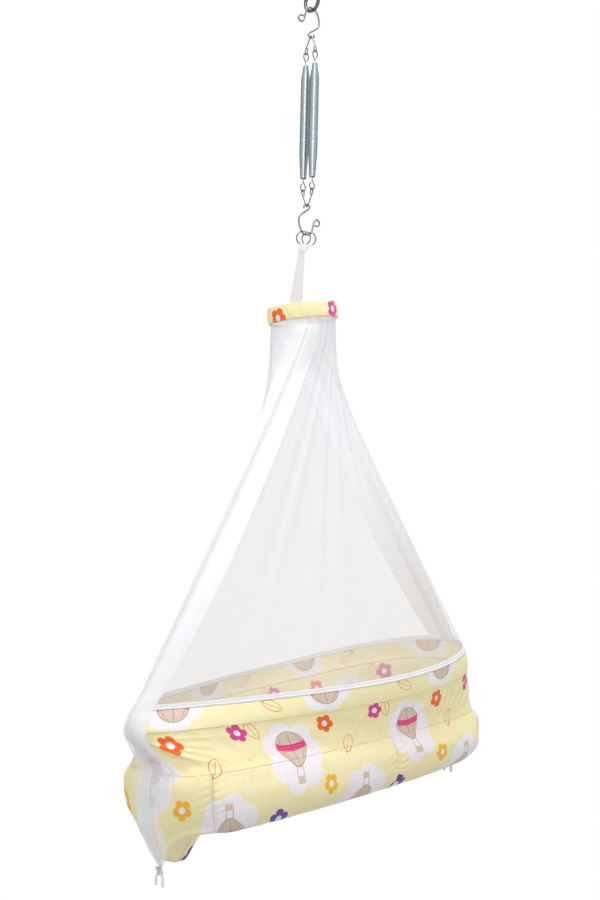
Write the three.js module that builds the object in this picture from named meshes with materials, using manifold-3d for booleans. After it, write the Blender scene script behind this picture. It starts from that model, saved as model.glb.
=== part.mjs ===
// A hanging baby cradle: a padded basket under a net tent, carried by straps, rings, hooks and two springs.
// Lengths are millimetres. The origin is the crown of the ceiling link, and +Z is up.
// +X runs along the basket to its far end, and the front of the cradle faces -Y.
import * as THREE from 'three';
import Module from 'manifold-3d';
import { mergeVertices } from 'three/addons/utils/BufferGeometryUtils.js';

const seatGap = 0.3;
const degrees = Math.PI / 180;

// Ceiling link
const linkWidth = 42;
const linkHeight = 44;
const linkBar = 7;

// S-hooks, each with a big crook, a small hook and a safety curl
const hookWire = 3.2;
const hookWidth = 56;
const hookHeight = 59;

// V-shaped wire bails that spread the load to the two springs
const bailWire = 2.4;
const bailSpread = 25;
const bailDrop = 35;
const bailTurnRadius = 3.4;
const bailTipLength = 8;

// Extension springs
const springWire = 2.2;
const springDiameter = 17.8;
const springNeckDiameter = 10;
const springTipDiameter = 12.4;
const springLength = 224;
const springCurls = 20;
const eyeWidth = 14.7;
const eyeHeight = 23.5;

// Split rings that hold the two straps on the lower hook
const ringWire = 2.6;
const ringDiameter = 29;
const ringSpacing = 14.6;
const ringTurn = -43.4 * degrees;

// Straps of white voile with a zip down the middle, one to each end of the basket
const strapThickness = 0.8;
const strapHalfWidth = 49;
const strapLoopHalfWidth = 4.5;
const strapLoopClearance = 0.9;
const strapLoopHem = 12;
const strapTailDrop = 111;
const strapClearance = 1.3;
const strapEndHalfWidth = 12;
const strapHangSlopeShare = 0.35;

// Spreader hoop in its cloth band
const bandDiameter = 133;
const bandHeight = 29;
const bandCloth = 1.2;
const hoopThickness = 2.4;
const hoopClearance = 0.4;
const netTuck = 6;
const hoopTwist = 59 * degrees;
const hoopTilt = -3.5 * degrees;
const hoopShift = -8;

// Net tent
const tentHeight = 679;
const netThickness = 0.8;
const netSeam = 0.9;
const netFold = 3;

// Basket
const cradleTilt = -3.9 * degrees;
const basketShift = 21;
const rimHalfLength = 416;
const rimHalfWidth = 141;
const rimSag = 15;
const rimFarRise = 13;
const rimNearFall = 12;
const rimNearDraw = 14;
const hemNearFlare = 12;
const pipingDiameter = 5;
const hemHeight = 38;
const hemThickness = 3;
const hemBow = 2.5;
const wallHeight = 86;
const wallThickness = 1.6;
const wallHollow = 3;
const padHeight = 98;
const padHalfLength = 395;
const padHalfWidth = 131;
const padBulge = 22;
const padCloth = 5;
const padFill = 22;
const padFillSlide = 0.35;
const nearPadFill = 22;
const padEndShift = 25;
const nearLobeDrop = 59;
const farLobeDrop = 16;
const floorFall = 16;
const quiltSeamDepth = 9;
const quiltSeamHalfWidth = 7;
const quiltSeamShares = [-0.927, 0.235];
const basePanelThickness = 1.6;
const basePanelSag = 3;
const boardThickness = 3;
const boardClearance = 1;
const boardLengthShare = 0.91;
const mattressThickness = 40;
const mattressCrown = 8;
const mattressInset = 4;

// Zips
const zipWidth = 6;
const zipThickness = 1.6;
const sliderWidth = 16;
const sliderHeight = 9;
const sliderThickness = 3.2;
const sliderTongue = 1.6;
const sliderCorner = 1.5;
const pullLength = 24;
const pullWidth = 4.6;
const pullThickness = 0.7;
const pullSpacing = 8.6;
const pullClearance = 0.3;

const steel = { color: 0xa9adb0, roughness: 0.35, metalness: 1 };
const finishes = {
  link: { color: 0x6e6a62, roughness: 0.5, metalness: 1 },
  wire: steel,
  spring: { color: 0x8fa0a8, roughness: 0.35, metalness: 1 },
  voile: { color: 0xf8f8fa, roughness: 0.9, metalness: 0 },
  net: { color: 0xf0f0f2, roughness: 0.9, metalness: 0 },
  print: { color: 0xf1e6a8, roughness: 0.85, metalness: 0 },
  piping: { color: 0xfbfbfb, roughness: 0.8, metalness: 0 },
  plastic: { color: 0xe8e8e6, roughness: 0.5, metalness: 0 },
  board: { color: 0x9b7a52, roughness: 0.8, metalness: 0 },
  foam: { color: 0xf4f2ea, roughness: 0.9, metalness: 0 },
};

const cradle = new THREE.Group();

function addPiece(parent, name, geometry, finish) {
  const mesh = new THREE.Mesh(geometry, new THREE.MeshStandardMaterial(finishes[finish]));
  mesh.name = name;
  parent.add(mesh);
  return mesh;
}

// A closed geometry from points and triangles, turned so that its faces point out.
function closedGeometry(points, triangles) {
  let volume = 0;
  for (const [a, b, c] of triangles) {
    volume += points[a].dot(points[b].clone().cross(points[c]));
  }
  const ordered = volume < 0 ? triangles.map(([a, b, c]) => [a, c, b]) : triangles;
  const geometry = new THREE.BufferGeometry();
  geometry.setAttribute('position', new THREE.Float32BufferAttribute(points.flatMap((point) => point.toArray()), 3));
  geometry.setIndex(ordered.flat());
  geometry.computeVertexNormals();
  return geometry;
}

// Two triangles for each cell of a grid of point numbers.
function gridTriangles(numberAt, rows, columns) {
  const triangles = [];
  for (let row = 0; row < rows; row += 1) {
    for (let column = 0; column < columns; column += 1) {
      const a = numberAt(row, column);
      const b = numberAt(row, column + 1);
      const c = numberAt(row + 1, column + 1);
      const d = numberAt(row + 1, column);
      triangles.push([a, b, c], [a, c, d]);
    }
  }
  return triangles;
}

// Rings of points, each closed on itself, joined in order, with a fan over each end.
function loft(rings) {
  const sides = rings[0].length;
  const points = rings.flat();
  const numberAt = (row, column) => row * sides + (column % sides);
  const triangles = gridTriangles(numberAt, rings.length - 1, sides);
  for (const [row, turned] of [[0, true], [rings.length - 1, false]]) {
    const middle = new THREE.Vector3();
    rings[row].forEach((point) => middle.add(point));
    points.push(middle.divideScalar(sides));
    for (let column = 0; column < sides; column += 1) {
      const edge = [numberAt(row, column), numberAt(row, column + 1)];
      triangles.push(turned ? [edge[1], edge[0], points.length - 1] : [edge[0], edge[1], points.length - 1]);
    }
  }
  return closedGeometry(points, triangles);
}

// Rings of points joined in order, and the last one joined to the first.
function closedLoft(rings) {
  const sides = rings[0].length;
  const numberAt = (row, column) => (row % rings.length) * sides + (column % sides);
  return closedGeometry(rings.flat(), gridTriangles(numberAt, rings.length, sides));
}

// Round wire along a route, its section carried along without twisting.
function wire(route, diameter, sides, isLoop = false) {
  const last = route.length - 1;
  const tangents = route.map((point, index) => {
    const before = isLoop ? route[(index + last) % route.length] : route[Math.max(index - 1, 0)];
    const after = isLoop ? route[(index + 1) % route.length] : route[Math.min(index + 1, last)];
    return after.clone().sub(before).normalize();
  });
  const sideways = Math.abs(tangents[0].y) < 0.9 ? new THREE.Vector3(0, 1, 0) : new THREE.Vector3(1, 0, 0);
  const normal = sideways.clone().addScaledVector(tangents[0], -sideways.dot(tangents[0])).normalize();
  const rings = route.map((point, index) => {
    normal.addScaledVector(tangents[index], -normal.dot(tangents[index])).normalize();
    const binormal = tangents[index].clone().cross(normal);
    return Array.from({ length: sides }, (_, side) => {
      const angle = (2 * Math.PI * side) / sides;
      return point.clone()
        .addScaledVector(normal, (diameter / 2) * Math.cos(angle))
        .addScaledVector(binormal, (diameter / 2) * Math.sin(angle));
    });
  });
  return isLoop ? closedLoft(rings) : loft(rings);
}

// A thin cloth solid about a grid of middle points, rows by columns.
function sheet(grid, thickness) {
  const rows = grid.length;
  const columns = grid[0].length;
  const normalAt = (row, column) => {
    const along = grid[Math.min(row + 1, rows - 1)][column].clone().sub(grid[Math.max(row - 1, 0)][column]);
    const across = grid[row][Math.min(column + 1, columns - 1)].clone()
      .sub(grid[row][Math.max(column - 1, 0)]);
    return across.cross(along).normalize();
  };
  const faces = [0.5, -0.5].map((side) => grid.flatMap((line, row) => line.map(
    (point, column) => point.clone().addScaledVector(normalAt(row, column), side * thickness),
  )));
  const count = rows * columns;
  const front = (row, column) => row * columns + column;
  const triangles = gridTriangles(front, rows - 1, columns - 1);
  const back = triangles.map(([a, b, c]) => [a + count, c + count, b + count]);
  const border = [];
  for (let column = 0; column < columns - 1; column += 1) border.push([0, column]);
  for (let row = 0; row < rows - 1; row += 1) border.push([row, columns - 1]);
  for (let column = columns - 1; column > 0; column -= 1) border.push([rows - 1, column]);
  for (let row = rows - 1; row > 0; row -= 1) border.push([row, 0]);
  const edge = border.flatMap(([row, column], index) => {
    const next = border[(index + 1) % border.length];
    const a = front(row, column);
    const b = front(...next);
    return [[b, a, a + count], [b, a + count, b + count]];
  });
  return closedGeometry(faces.flat(), [...triangles, ...back, ...edge]);
}

// How far a route is lifted so that its wire rests just clear of the wire that carries it.
function restingLift(route, carrier, spacing) {
  let lift = -Infinity;
  for (const upper of route) {
    for (const lower of carrier) {
      const apart = Math.hypot(upper.x - lower.x, upper.y - lower.y);
      if (apart < spacing) {
        lift = Math.max(lift, lower.z + Math.sqrt(spacing ** 2 - apart ** 2) - upper.z);
      }
    }
  }
  return lift;
}

const shifted = (route, offset) => route.map((point) => point.clone().add(offset));
const lifted = (route, height) => shifted(route, new THREE.Vector3(0, 0, height));
const spacingOf = (first, second) => (first + second) / 2 + seatGap;

// The same line with many points on each of its straight steps.
function finely(route) {
  const parts = 12;
  return route.slice(1).flatMap((point, index) => Array.from(
    { length: parts },
    (_, part) => route[index].clone().lerp(point, part / parts),
  ));
}

// The ceiling link is a stadium of bar in the YZ plane, its crown at the origin.
function linkRoute(steps) {
  const radius = (linkWidth - linkBar) / 2;
  const straight = linkHeight - linkWidth;
  const middle = -linkHeight / 2;
  return Array.from({ length: steps }, (_, index) => {
    const angle = (2 * Math.PI * (index + 0.5)) / steps;
    const end = Math.sign(Math.cos(angle)) * (straight / 2);
    return new THREE.Vector3(0, radius * Math.sin(angle), middle + end + radius * Math.cos(angle));
  });
}

// The S-hook's line in the XZ plane from its safety curl over the crook to the small hook,
// as shares of its width and height with the top of the crook at zero.
const hookShares = [
  [-0.4, -0.35], [-0.54, -0.36], [-0.62, -0.46], [-0.5, -0.56], [-0.36, -0.47], [-0.31, -0.31],
  [-0.25, -0.13], [-0.14, -0.02], [0, 0], [0.14, -0.02], [0.27, -0.14], [0.36, -0.34], [0.37, -0.49],
  [0.29, -0.61], [0.08, -0.75], [-0.09, -0.86], [-0.13, -0.945], [0, -1], [0.13, -0.945], [0.14, -0.87],
];

const smallHookShare = 0.1;

function hookRoute(steps, turned) {
  const side = turned ? -1 : 1;
  const points = hookShares.map(([x, z]) => new THREE.Vector3(side * x * hookWidth, 0, side * z * hookHeight));
  return new THREE.CatmullRomCurve3(points, false, 'centripetal').getSpacedPoints(steps);
}

// A bail's line in the YZ plane: a tip, a turn, two arms that meet in the middle, a turn and a tip.
function bailRoute(steps, turned) {
  const side = turned ? -1 : 1;
  const outer = bailSpread / 2 + bailTurnRadius;
  const inner = bailSpread / 2 - bailTurnRadius;
  const turnTop = -bailDrop + bailTurnRadius;
  const halfRoute = [
    [inner, turnTop + bailTipLength],
    [inner, turnTop],
    [bailSpread / 2 - bailTurnRadius * Math.SQRT1_2, -bailDrop + bailTurnRadius * (1 - Math.SQRT1_2)],
    [bailSpread / 2, -bailDrop],
    [bailSpread / 2 + bailTurnRadius * Math.SQRT1_2, -bailDrop + bailTurnRadius * (1 - Math.SQRT1_2)],
    [outer, turnTop],
    [bailTurnRadius / 2, -bailTurnRadius / 2],
  ];
  const mirrored = halfRoute.slice().reverse().map(([y, z]) => [-y, z]);
  const points = [...halfRoute, [0, 0], ...mirrored]
    .map(([y, z]) => new THREE.Vector3(0, side * y, side * z));
  return new THREE.CatmullRomCurve3(points, false, 'centripetal').getSpacedPoints(steps);
}

// A spring's line: an eye, a coil that swells from its neck and draws in at its tip, and a second eye.
const eyeShares = [[0.22, 0.27], [0.42, 0.55], [0.31, 0.88], [0, 1], [-0.31, 0.88], [-0.42, 0.55], [-0.2, 0.22]];
const neckTaperShare = 0.15;
const tipTaperShare = 0.24;
const eyeGapShare = 0.02;

function coilRadius(share) {
  const full = (springDiameter - springWire) / 2;
  const neck = (springNeckDiameter - springWire) / 2;
  const tip = (springTipDiameter - springWire) / 2;
  const fromNeck = THREE.MathUtils.smoothstep(share, 0, neckTaperShare);
  const fromTip = THREE.MathUtils.smoothstep(1 - share, 0, tipTaperShare);
  const swollen = Math.min(THREE.MathUtils.lerp(neck, full, fromNeck), THREE.MathUtils.lerp(tip, full, fromTip));
  const closing = Math.min(share, 1 - share) * springCurls;
  return swollen * Math.min(1, closing);
}

function springRoute() {
  const stepsPerCurl = 8;
  const steps = springCurls * stepsPerCurl;
  const gap = springLength * eyeGapShare;
  const coil = Array.from({ length: steps + 1 }, (_, index) => {
    const share = index / steps;
    const angle = (2 * Math.PI * index) / stepsPerCurl;
    const radius = coilRadius(share);
    return new THREE.Vector3(radius * Math.cos(angle), radius * Math.sin(angle), -springLength * share);
  });
  const eye = eyeShares.map(([x, z]) => new THREE.Vector3(x * eyeWidth, 0, gap + z * (eyeHeight - gap)));
  const topEye = new THREE.CatmullRomCurve3([...eye, new THREE.Vector3(0, 0, gap)]).getSpacedPoints(15);
  const bottomEye = topEye.slice().reverse()
    .map((point) => new THREE.Vector3(-point.x, point.y, -springLength - point.z));
  return [...topEye, ...coil, ...bottomEye];
}

// The least distance from the surface of a wire to itself, past the stretch that is one bend.
function leastSelfGap(route, diameter) {
  const reach = Math.PI * diameter;
  const lengths = [0];
  route.slice(1).forEach((point, index) => lengths.push(lengths[index] + point.distanceTo(route[index])));
  let least = Infinity;
  for (let first = 0; first < route.length; first += 1) {
    for (let second = first + 1; second < route.length; second += 1) {
      if (lengths[second] - lengths[first] > reach) {
        least = Math.min(least, route[first].distanceTo(route[second]) - diameter);
      }
    }
  }
  return least;
}

// A ring hangs from its top point, its plane turned to face the front left.
const ringAcross = new THREE.Vector3(Math.cos(ringTurn), Math.sin(ringTurn), 0);
const ringNormal = new THREE.Vector3(-Math.sin(ringTurn), Math.cos(ringTurn), 0);

function ringRoute(steps) {
  const radius = (ringDiameter - ringWire) / 2;
  return Array.from({ length: steps }, (_, index) => {
    const angle = (2 * Math.PI * index) / steps;
    return ringAcross.clone().multiplyScalar(radius * Math.sin(angle))
      .add(new THREE.Vector3(0, 0, radius * (Math.cos(angle) - 1)));
  });
}

// Routes of the hardware and their seats, from the link down
const link = linkRoute(32);
const upperHook = hookRoute(56, false);
const lowerHook = hookRoute(56, true);
const upperBail = bailRoute(40, false);
const lowerBail = bailRoute(40, true);
const spring = springRoute();
const ring = ringRoute(28);
const hookThird = hookHeight / 3;
const smallHookTop = hookHeight * (1 - smallHookShare);

const upperHookSeat = restingLift(
  finely(upperHook).filter((point) => point.z > -hookThird),
  finely(link).filter((point) => point.z < -linkHeight / 2),
  spacingOf(hookWire, linkBar),
);
const upperBailSeat = restingLift(
  finely(upperBail).filter((point) => Math.abs(point.y) < bailTurnRadius),
  lifted(finely(upperHook).filter((point) => point.z < -smallHookTop), upperHookSeat),
  spacingOf(bailWire, hookWire),
);
const springSeat = restingLift(
  shifted(finely(spring).filter((point) => point.z > eyeHeight / 2), new THREE.Vector3(0, bailSpread / 2, 0)),
  lifted(finely(upperBail).filter((point) => point.z < bailTurnRadius - bailDrop), upperBailSeat),
  spacingOf(springWire, bailWire),
);
const springPlaces = [-bailSpread / 2, bailSpread / 2].map((y) => new THREE.Vector3(0, y, springSeat));
const lowerBailSeat = restingLift(
  finely(lowerBail).filter((point) => point.y > 0 && point.z > bailDrop - bailTurnRadius),
  shifted(finely(spring).filter((point) => point.z < -springLength - eyeHeight / 2), springPlaces[1]),
  spacingOf(bailWire, springWire),
);
const lowerHookSeat = restingLift(
  finely(lowerHook).filter((point) => point.z > smallHookTop),
  lifted(finely(lowerBail).filter((point) => point.z < bailDrop / 2), lowerBailSeat),
  spacingOf(hookWire, bailWire),
);
const saddle = lifted(finely(lowerHook).filter((point) => point.z < hookThird), lowerHookSeat);
const ringPlaces = [ringSpacing / 2, -ringSpacing / 2].map((x) => {
  const place = new THREE.Vector3(x, 0, 0);
  const topOfRing = shifted(finely(ring).filter((point) => point.z > -ringDiameter / 4), place);
  return place.setZ(restingLift(topOfRing, saddle, spacingOf(ringWire, hookWire)));
});

addPiece(cradle, 'ceiling_link', wire(link, linkBar, 8, true), 'link');
addPiece(cradle, 'upper_s_hook', wire(upperHook, hookWire, 6), 'wire').position.z = upperHookSeat;
addPiece(cradle, 'upper_bail', wire(upperBail, bailWire, 6), 'wire').position.z = upperBailSeat;
['front_spring', 'back_spring'].forEach((name, index) => {
  addPiece(cradle, name, wire(spring, springWire, 5), 'spring').position.copy(springPlaces[index]);
});
addPiece(cradle, 'lower_bail', wire(lowerBail, bailWire, 6), 'wire').position.z = lowerBailSeat;
addPiece(cradle, 'lower_s_hook', wire(lowerHook, hookWire, 6), 'wire').position.z = lowerHookSeat;
['near_ring', 'far_ring'].forEach((name, index) => {
  addPiece(cradle, name, wire(ring, ringWire, 6, true), 'wire').position.copy(ringPlaces[index]);
});

// The basket hangs in a frame of its own at the middle of its rim, its near end a little low.
const ringBottom = ringPlaces[0].z - (ringDiameter - ringWire);
const bandTop = ringBottom - strapTailDrop;
const bandBottom = bandTop - bandHeight;
const basket = new THREE.Group();
basket.position.set(basketShift, 0, bandBottom - tentHeight);
basket.rotation.y = cradleTilt;
basket.updateMatrixWorld();
cradle.add(basket);

// The hoop and its band tilt a little in the plane of the rings.
const hoopFrame = new THREE.Group();
hoopFrame.position.set(hoopShift, 0, bandBottom);
hoopFrame.quaternion.setFromAxisAngle(ringNormal, hoopTilt);
hoopFrame.updateMatrixWorld();
cradle.add(hoopFrame);

const padTop = hemHeight + wallHeight;
const nearAngle = Math.PI;
const farAngle = 0;
const rimEggShare = 0.5;
const padEggShare = 0;
const padSquareShare = 0.4;
const endStartShare = 0.78;
const endFullShare = 0.94;
const lobeStartShare = 0.93;
const lobeFullShare = 0.99;

// How far the near end is drawn in at the rim, and stands out again at the foot of the hem.
function nearDraw(share) {
  const hemShare = hemHeight / padTop;
  return share < hemShare
    ? THREE.MathUtils.mapLinear(share, 0, hemShare, rimNearDraw, -hemNearFlare)
    : THREE.MathUtils.mapLinear(share, hemShare, 1, -hemNearFlare, 0);
}

// A level outline of the basket: egg-shaped at the rim, where the near strap draws it in, and squarer lower down.
function outlinePoint(angle, depth, offset) {
  const share = THREE.MathUtils.clamp(depth / padTop, 0, 1);
  const along = Math.cos(angle);
  const roundness = THREE.MathUtils.lerp(1, padSquareShare, share);
  const across = Math.sign(Math.sin(angle)) * Math.abs(Math.sin(angle)) ** roundness;
  const egg = 1 + THREE.MathUtils.lerp(rimEggShare, padEggShare, share) * along;
  const halfLength = THREE.MathUtils.lerp(rimHalfLength, padHalfLength, share) + offset;
  const halfWidth = THREE.MathUtils.lerp(rimHalfWidth, padHalfWidth, share) * egg + offset;
  const draw = nearDraw(share) * Math.min(along, 0) ** 2;
  return new THREE.Vector2(padEndShift * share + halfLength * along + draw, halfWidth * across);
}

// The padded ends hang lower than the sides, and the whole floor falls a little to the near end.
function lobeDrop(along) {
  const drop = along < 0 ? nearLobeDrop : farLobeDrop;
  return drop * THREE.MathUtils.smoothstep(Math.abs(along), lobeStartShare, lobeFullShare);
}

const fallAt = (x) => floorFall * (0.5 - (x - padEndShift) / (2 * padHalfLength));

function basketPoint(angle, depth, offset) {
  const { x, y } = outlinePoint(angle, depth, offset);
  const along = Math.cos(angle);
  const ends = rimFarRise * Math.max(along, 0) ** 2 - rimNearFall * Math.min(along, 0) ** 2;
  const wave = ends - rimSag * (1 - along ** 2);
  const padShare = Math.max(depth - padTop, 0) / padHeight;
  const drop = padShare * (lobeDrop(along) + fallAt(x));
  return new THREE.Vector3(x, y, wave * (1 - Math.min(depth / padTop, 1)) - depth - drop);
}

// The pad's outer side from its top to its bottom: places down it as shares of its height,
// and how far it stands out there on the sides and at the ends, as shares of its bulge.
const padPlaceShares = [0, 0.12, 0.3, 0.45, 0.62, 0.8, 0.92, 1];
const padSideShares = [0, 0.5, 0.9, 1, 0.95, 0.6, -0.1, -1.2];
const padEndShares = [0, 0.4, 0.5, 0.45, 0.25, -0.25, -0.65, -2.1];

function padOffset(angle, place) {
  const toEnd = THREE.MathUtils.smoothstep(Math.abs(Math.cos(angle)), endStartShare, endFullShare);
  return padBulge * THREE.MathUtils.lerp(padSideShares[place], padEndShares[place], toEnd);
}

const padInnerEdge = (angle) => padOffset(angle, padPlaceShares.length - 1) - padCloth;

const stationCount = 48;
const stations = Array.from({ length: stationCount }, (_, index) => (2 * Math.PI * index) / stationCount);

// A band of cloth all round the basket, its section given as [offset, depth] points.
function ringOfCloth(section) {
  return closedLoft(stations.map((angle) => section.map(([offset, depth]) => basketPoint(angle, depth, offset))));
}

const pipingOffset = -hemThickness / 2;
const hemTop = pipingDiameter / 2 + seatGap;
const hemMiddle = (hemTop + hemHeight) / 2;
addPiece(basket, 'rim_piping', wire(
  stations.map((angle) => basketPoint(angle, 0, pipingOffset)),
  pipingDiameter,
  6,
  true,
), 'piping');
addPiece(basket, 'rim_hem', ringOfCloth([
  [0, hemTop],
  [hemBow, hemMiddle],
  [0, hemHeight],
  [-hemThickness, hemHeight],
  [hemBow - hemThickness, hemMiddle],
  [-hemThickness, hemTop],
]), 'print');

const wallOuter = (wallThickness - hemThickness) / 2;
const wallMiddle = (hemHeight + padTop) / 2;
addPiece(basket, 'basket_wall', ringOfCloth([
  [wallOuter, hemHeight + seatGap],
  [wallOuter - wallHollow, wallMiddle],
  [wallOuter, padTop - seatGap],
  [wallOuter - wallThickness, padTop - seatGap],
  [wallOuter - wallHollow - wallThickness, wallMiddle],
  [wallOuter - wallThickness, hemHeight + seatGap],
]), 'print');

// The pad is quilted: a stitched channel draws its outer side in at each seam, front and back.
const quiltSeams = quiltSeamShares.flatMap((share) => [Math.acos(share), 2 * Math.PI - Math.acos(share)]);
const quiltStations = quiltSeams.flatMap((angle) => {
  const half = quiltSeamHalfWidth / (padHalfLength * Math.abs(Math.sin(angle)));
  return [{ angle: angle - half, inset: 0 }, { angle, inset: quiltSeamDepth }, { angle: angle + half, inset: 0 }];
});
const seamClearShare = 0.35;
const clearOfSeams = (angle) => quiltSeams.every((seam) => (
  Math.abs(angle - seam) > (seamClearShare * 2 * Math.PI) / stationCount
));
const padStations = [
  ...stations.filter(clearOfSeams).map((angle) => ({ angle, inset: 0 })),
  ...quiltStations,
].sort((first, second) => first.angle - second.angle);

// The filling has slid to the low near end, which puts the cradle's balance under the hooks.
function padSection({ angle, inset }) {
  const nearShare = THREE.MathUtils.smoothstep(-Math.cos(angle), endStartShare, endFullShare);
  const fill = padFill * (1 - padFillSlide * Math.cos(angle)) + nearPadFill * nearShare;
  const outer = padPlaceShares.map((share, place) => {
    const drawnIn = inset * Math.sin(Math.PI * share);
    return basketPoint(angle, padTop + padHeight * share, padOffset(angle, place) - drawnIn);
  });
  const inner = padPlaceShares.map((share, place) => {
    const thickness = padCloth + fill * Math.sin(Math.PI * share);
    return basketPoint(angle, padTop + padHeight * share, padOffset(angle, place) - thickness);
  });
  return [...outer, ...inner.reverse()];
}
addPiece(basket, 'padded_bumper', closedLoft(padStations.map(padSection)), 'print');

// Floor of the basket: a cloth panel that sags a little, a stiff board on it and the mattress.
const panelBottom = padTop + padHeight;
const panelTop = panelBottom - basePanelThickness;
const boardBottom = panelTop - seatGap;
const boardTop = boardBottom - boardThickness;
const mattressBottom = boardTop - seatGap;
const mattressTop = mattressBottom - mattressThickness;
const floorShares = [0.3, 0.6, 0.8, 0.9, 1];

function panelRing(share, depth) {
  return stations.map((angle) => {
    const edge = outlinePoint(angle, panelBottom, padInnerEdge(angle) - 2 * seatGap);
    const middle = new THREE.Vector2(padEndShift, 0);
    const place = middle.lerp(edge, share);
    const drop = lobeDrop(share * Math.cos(angle)) + fallAt(place.x) + basePanelSag * (1 - share ** 2);
    return new THREE.Vector3(place.x, place.y, -depth - drop);
  });
}
addPiece(basket, 'base_panel', loft([
  ...floorShares.map((share) => panelRing(share, panelBottom)),
  ...floorShares.slice().reverse().map((share) => panelRing(share, panelTop)),
]), 'print');

// The board and the mattress lie against the near end and leave a little room at the far end.
function floorRing(inset, depth) {
  const onOutline = (angle) => outlinePoint(angle, panelBottom, padInnerEdge(angle) - boardClearance - inset);
  const nearX = onOutline(nearAngle).x;
  return stations.filter((_, index) => index % 2 === 0).map((angle) => {
    const place = onOutline(angle);
    const x = THREE.MathUtils.lerp(nearX, place.x, boardLengthShare);
    return new THREE.Vector3(x, place.y, -depth - fallAt(x));
  });
}
addPiece(basket, 'base_board', loft([floorRing(0, boardBottom), floorRing(0, boardTop)]), 'board');

const mattressEdge = mattressThickness / 4;
const crownShare = 0.35;
addPiece(basket, 'mattress', loft([
  floorRing(mattressInset + mattressEdge, mattressBottom),
  floorRing(mattressInset, mattressBottom - mattressEdge),
  floorRing(mattressInset, mattressTop + mattressEdge),
  floorRing(mattressInset + mattressEdge, mattressTop),
  floorRing(mattressInset + padHalfWidth * crownShare, mattressTop - mattressCrown),
]), 'foam');

// A band turned about the hoop's axis, its section given as [radius, height] points.
function turned(section, segments) {
  return closedLoft(Array.from({ length: segments }, (_, index) => {
    const angle = (2 * Math.PI * index) / segments;
    return section.map(([radius, z]) => new THREE.Vector3(radius * Math.cos(angle), radius * Math.sin(angle), z));
  }));
}

// The band is a strip of cloth folded over the hoop, open below where the net goes in.
const bandSegments = 36;
const bandOuter = bandDiameter / 2;
const slotOuter = bandOuter - bandCloth;
const slotInner = slotOuter - hoopThickness - 2 * hoopClearance;
const bandInner = slotInner - bandCloth;
addPiece(hoopFrame, 'hoop_band', turned([
  [bandOuter, 0],
  [bandOuter, bandHeight],
  [bandInner, bandHeight],
  [bandInner, 0],
  [slotInner, 0],
  [slotInner, bandHeight - bandCloth],
  [slotOuter, bandHeight - bandCloth],
  [slotOuter, 0],
], bandSegments), 'print');
addPiece(hoopFrame, 'spreader_hoop', turned([
  [slotOuter - hoopClearance, netTuck],
  [slotOuter - hoopClearance, bandHeight - bandCloth - seatGap],
  [slotInner + hoopClearance, bandHeight - bandCloth - seatGap],
  [slotInner + hoopClearance, netTuck],
], bandSegments), 'plastic');

const inHoop = (point) => point.applyMatrix4(hoopFrame.matrixWorld);
const inBasket = (point) => point.applyMatrix4(basket.matrixWorld);
const onHoop = (radius, angle, z) => inHoop(
  new THREE.Vector3(radius * Math.cos(angle), radius * Math.sin(angle), z),
);

// The tent runs from the slot in the band down to the piping on the rim, twisted by a sixth of a turn.
const netRadius = (slotOuter + slotInner) / 2;
const netFlareShare = 0.25;

function tentPoint(angle, share, fold) {
  const top = onHoop(netRadius, angle + hoopTwist, 0);
  const lift = pipingDiameter / 2 + seatGap;
  const foot = inBasket(basketPoint(angle, 0, pipingOffset + fold).add(new THREE.Vector3(0, 0, lift)));
  const spread = share ** (1 + netFlareShare * Math.sin(angle) ** 2);
  return new THREE.Vector3(
    THREE.MathUtils.lerp(top.x, foot.x, spread),
    THREE.MathUtils.lerp(top.y, foot.y, spread),
    THREE.MathUtils.lerp(top.z, foot.z, share),
  );
}

// The point at a distance along a closed curve from one of its angles, forward or back.
function walkAlong(curve, start, distance) {
  const step = (Math.sign(distance) * Math.PI) / 360;
  let angle = start;
  let point = curve(angle);
  let left = Math.abs(distance);
  while (left > 0) {
    const next = curve(angle + step);
    const length = next.distanceTo(point);
    if (length >= left) return { angle: angle + (step * left) / length, point: point.lerp(next, left / length) };
    left -= length;
    point = next;
    angle += step;
  }
  return { angle, point };
}

// Half the strap's width as shares of its full half-width, at shares of the way down the tent.
const strapWidthShares = [[0, 0.33], [0.07, 0.66], [0.38, 0.88], [0.7, 1], [0.9, 0.86], [1, 0.7]];
const tentShares = [0.03, 0.07, 0.15, 0.26, 0.38, 0.5, 0.62, 0.74, 0.85, 0.93, 0.975];

function strapHalfWidthAt(share) {
  const next = strapWidthShares.findIndex(([place]) => place >= share);
  if (next === 0) return strapWidthShares[0][1] * strapHalfWidth;
  const [startPlace, startShare] = strapWidthShares[next - 1];
  const [endPlace, endShare] = strapWidthShares[next];
  const width = THREE.MathUtils.mapLinear(share, startPlace, endPlace, startShare, endShare);
  return width * strapHalfWidth;
}

const strapColumns = [-1, -2 / 3, -1 / 3, 0, 1 / 3, 2 / 3, 1];
const ends = {
  near: { angle: nearAngle, forward: 1, outward: -1, ringPlace: ringPlaces[0], lobe: nearLobeDrop },
  far: { angle: farAngle, forward: -1, outward: 1, ringPlace: ringPlaces[1], lobe: farLobeDrop },
};

function strapRow(end, curve, halfWidth) {
  return strapColumns.map((column) => walkAlong(curve, end.angle, end.forward * column * halfWidth).point);
}

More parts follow.
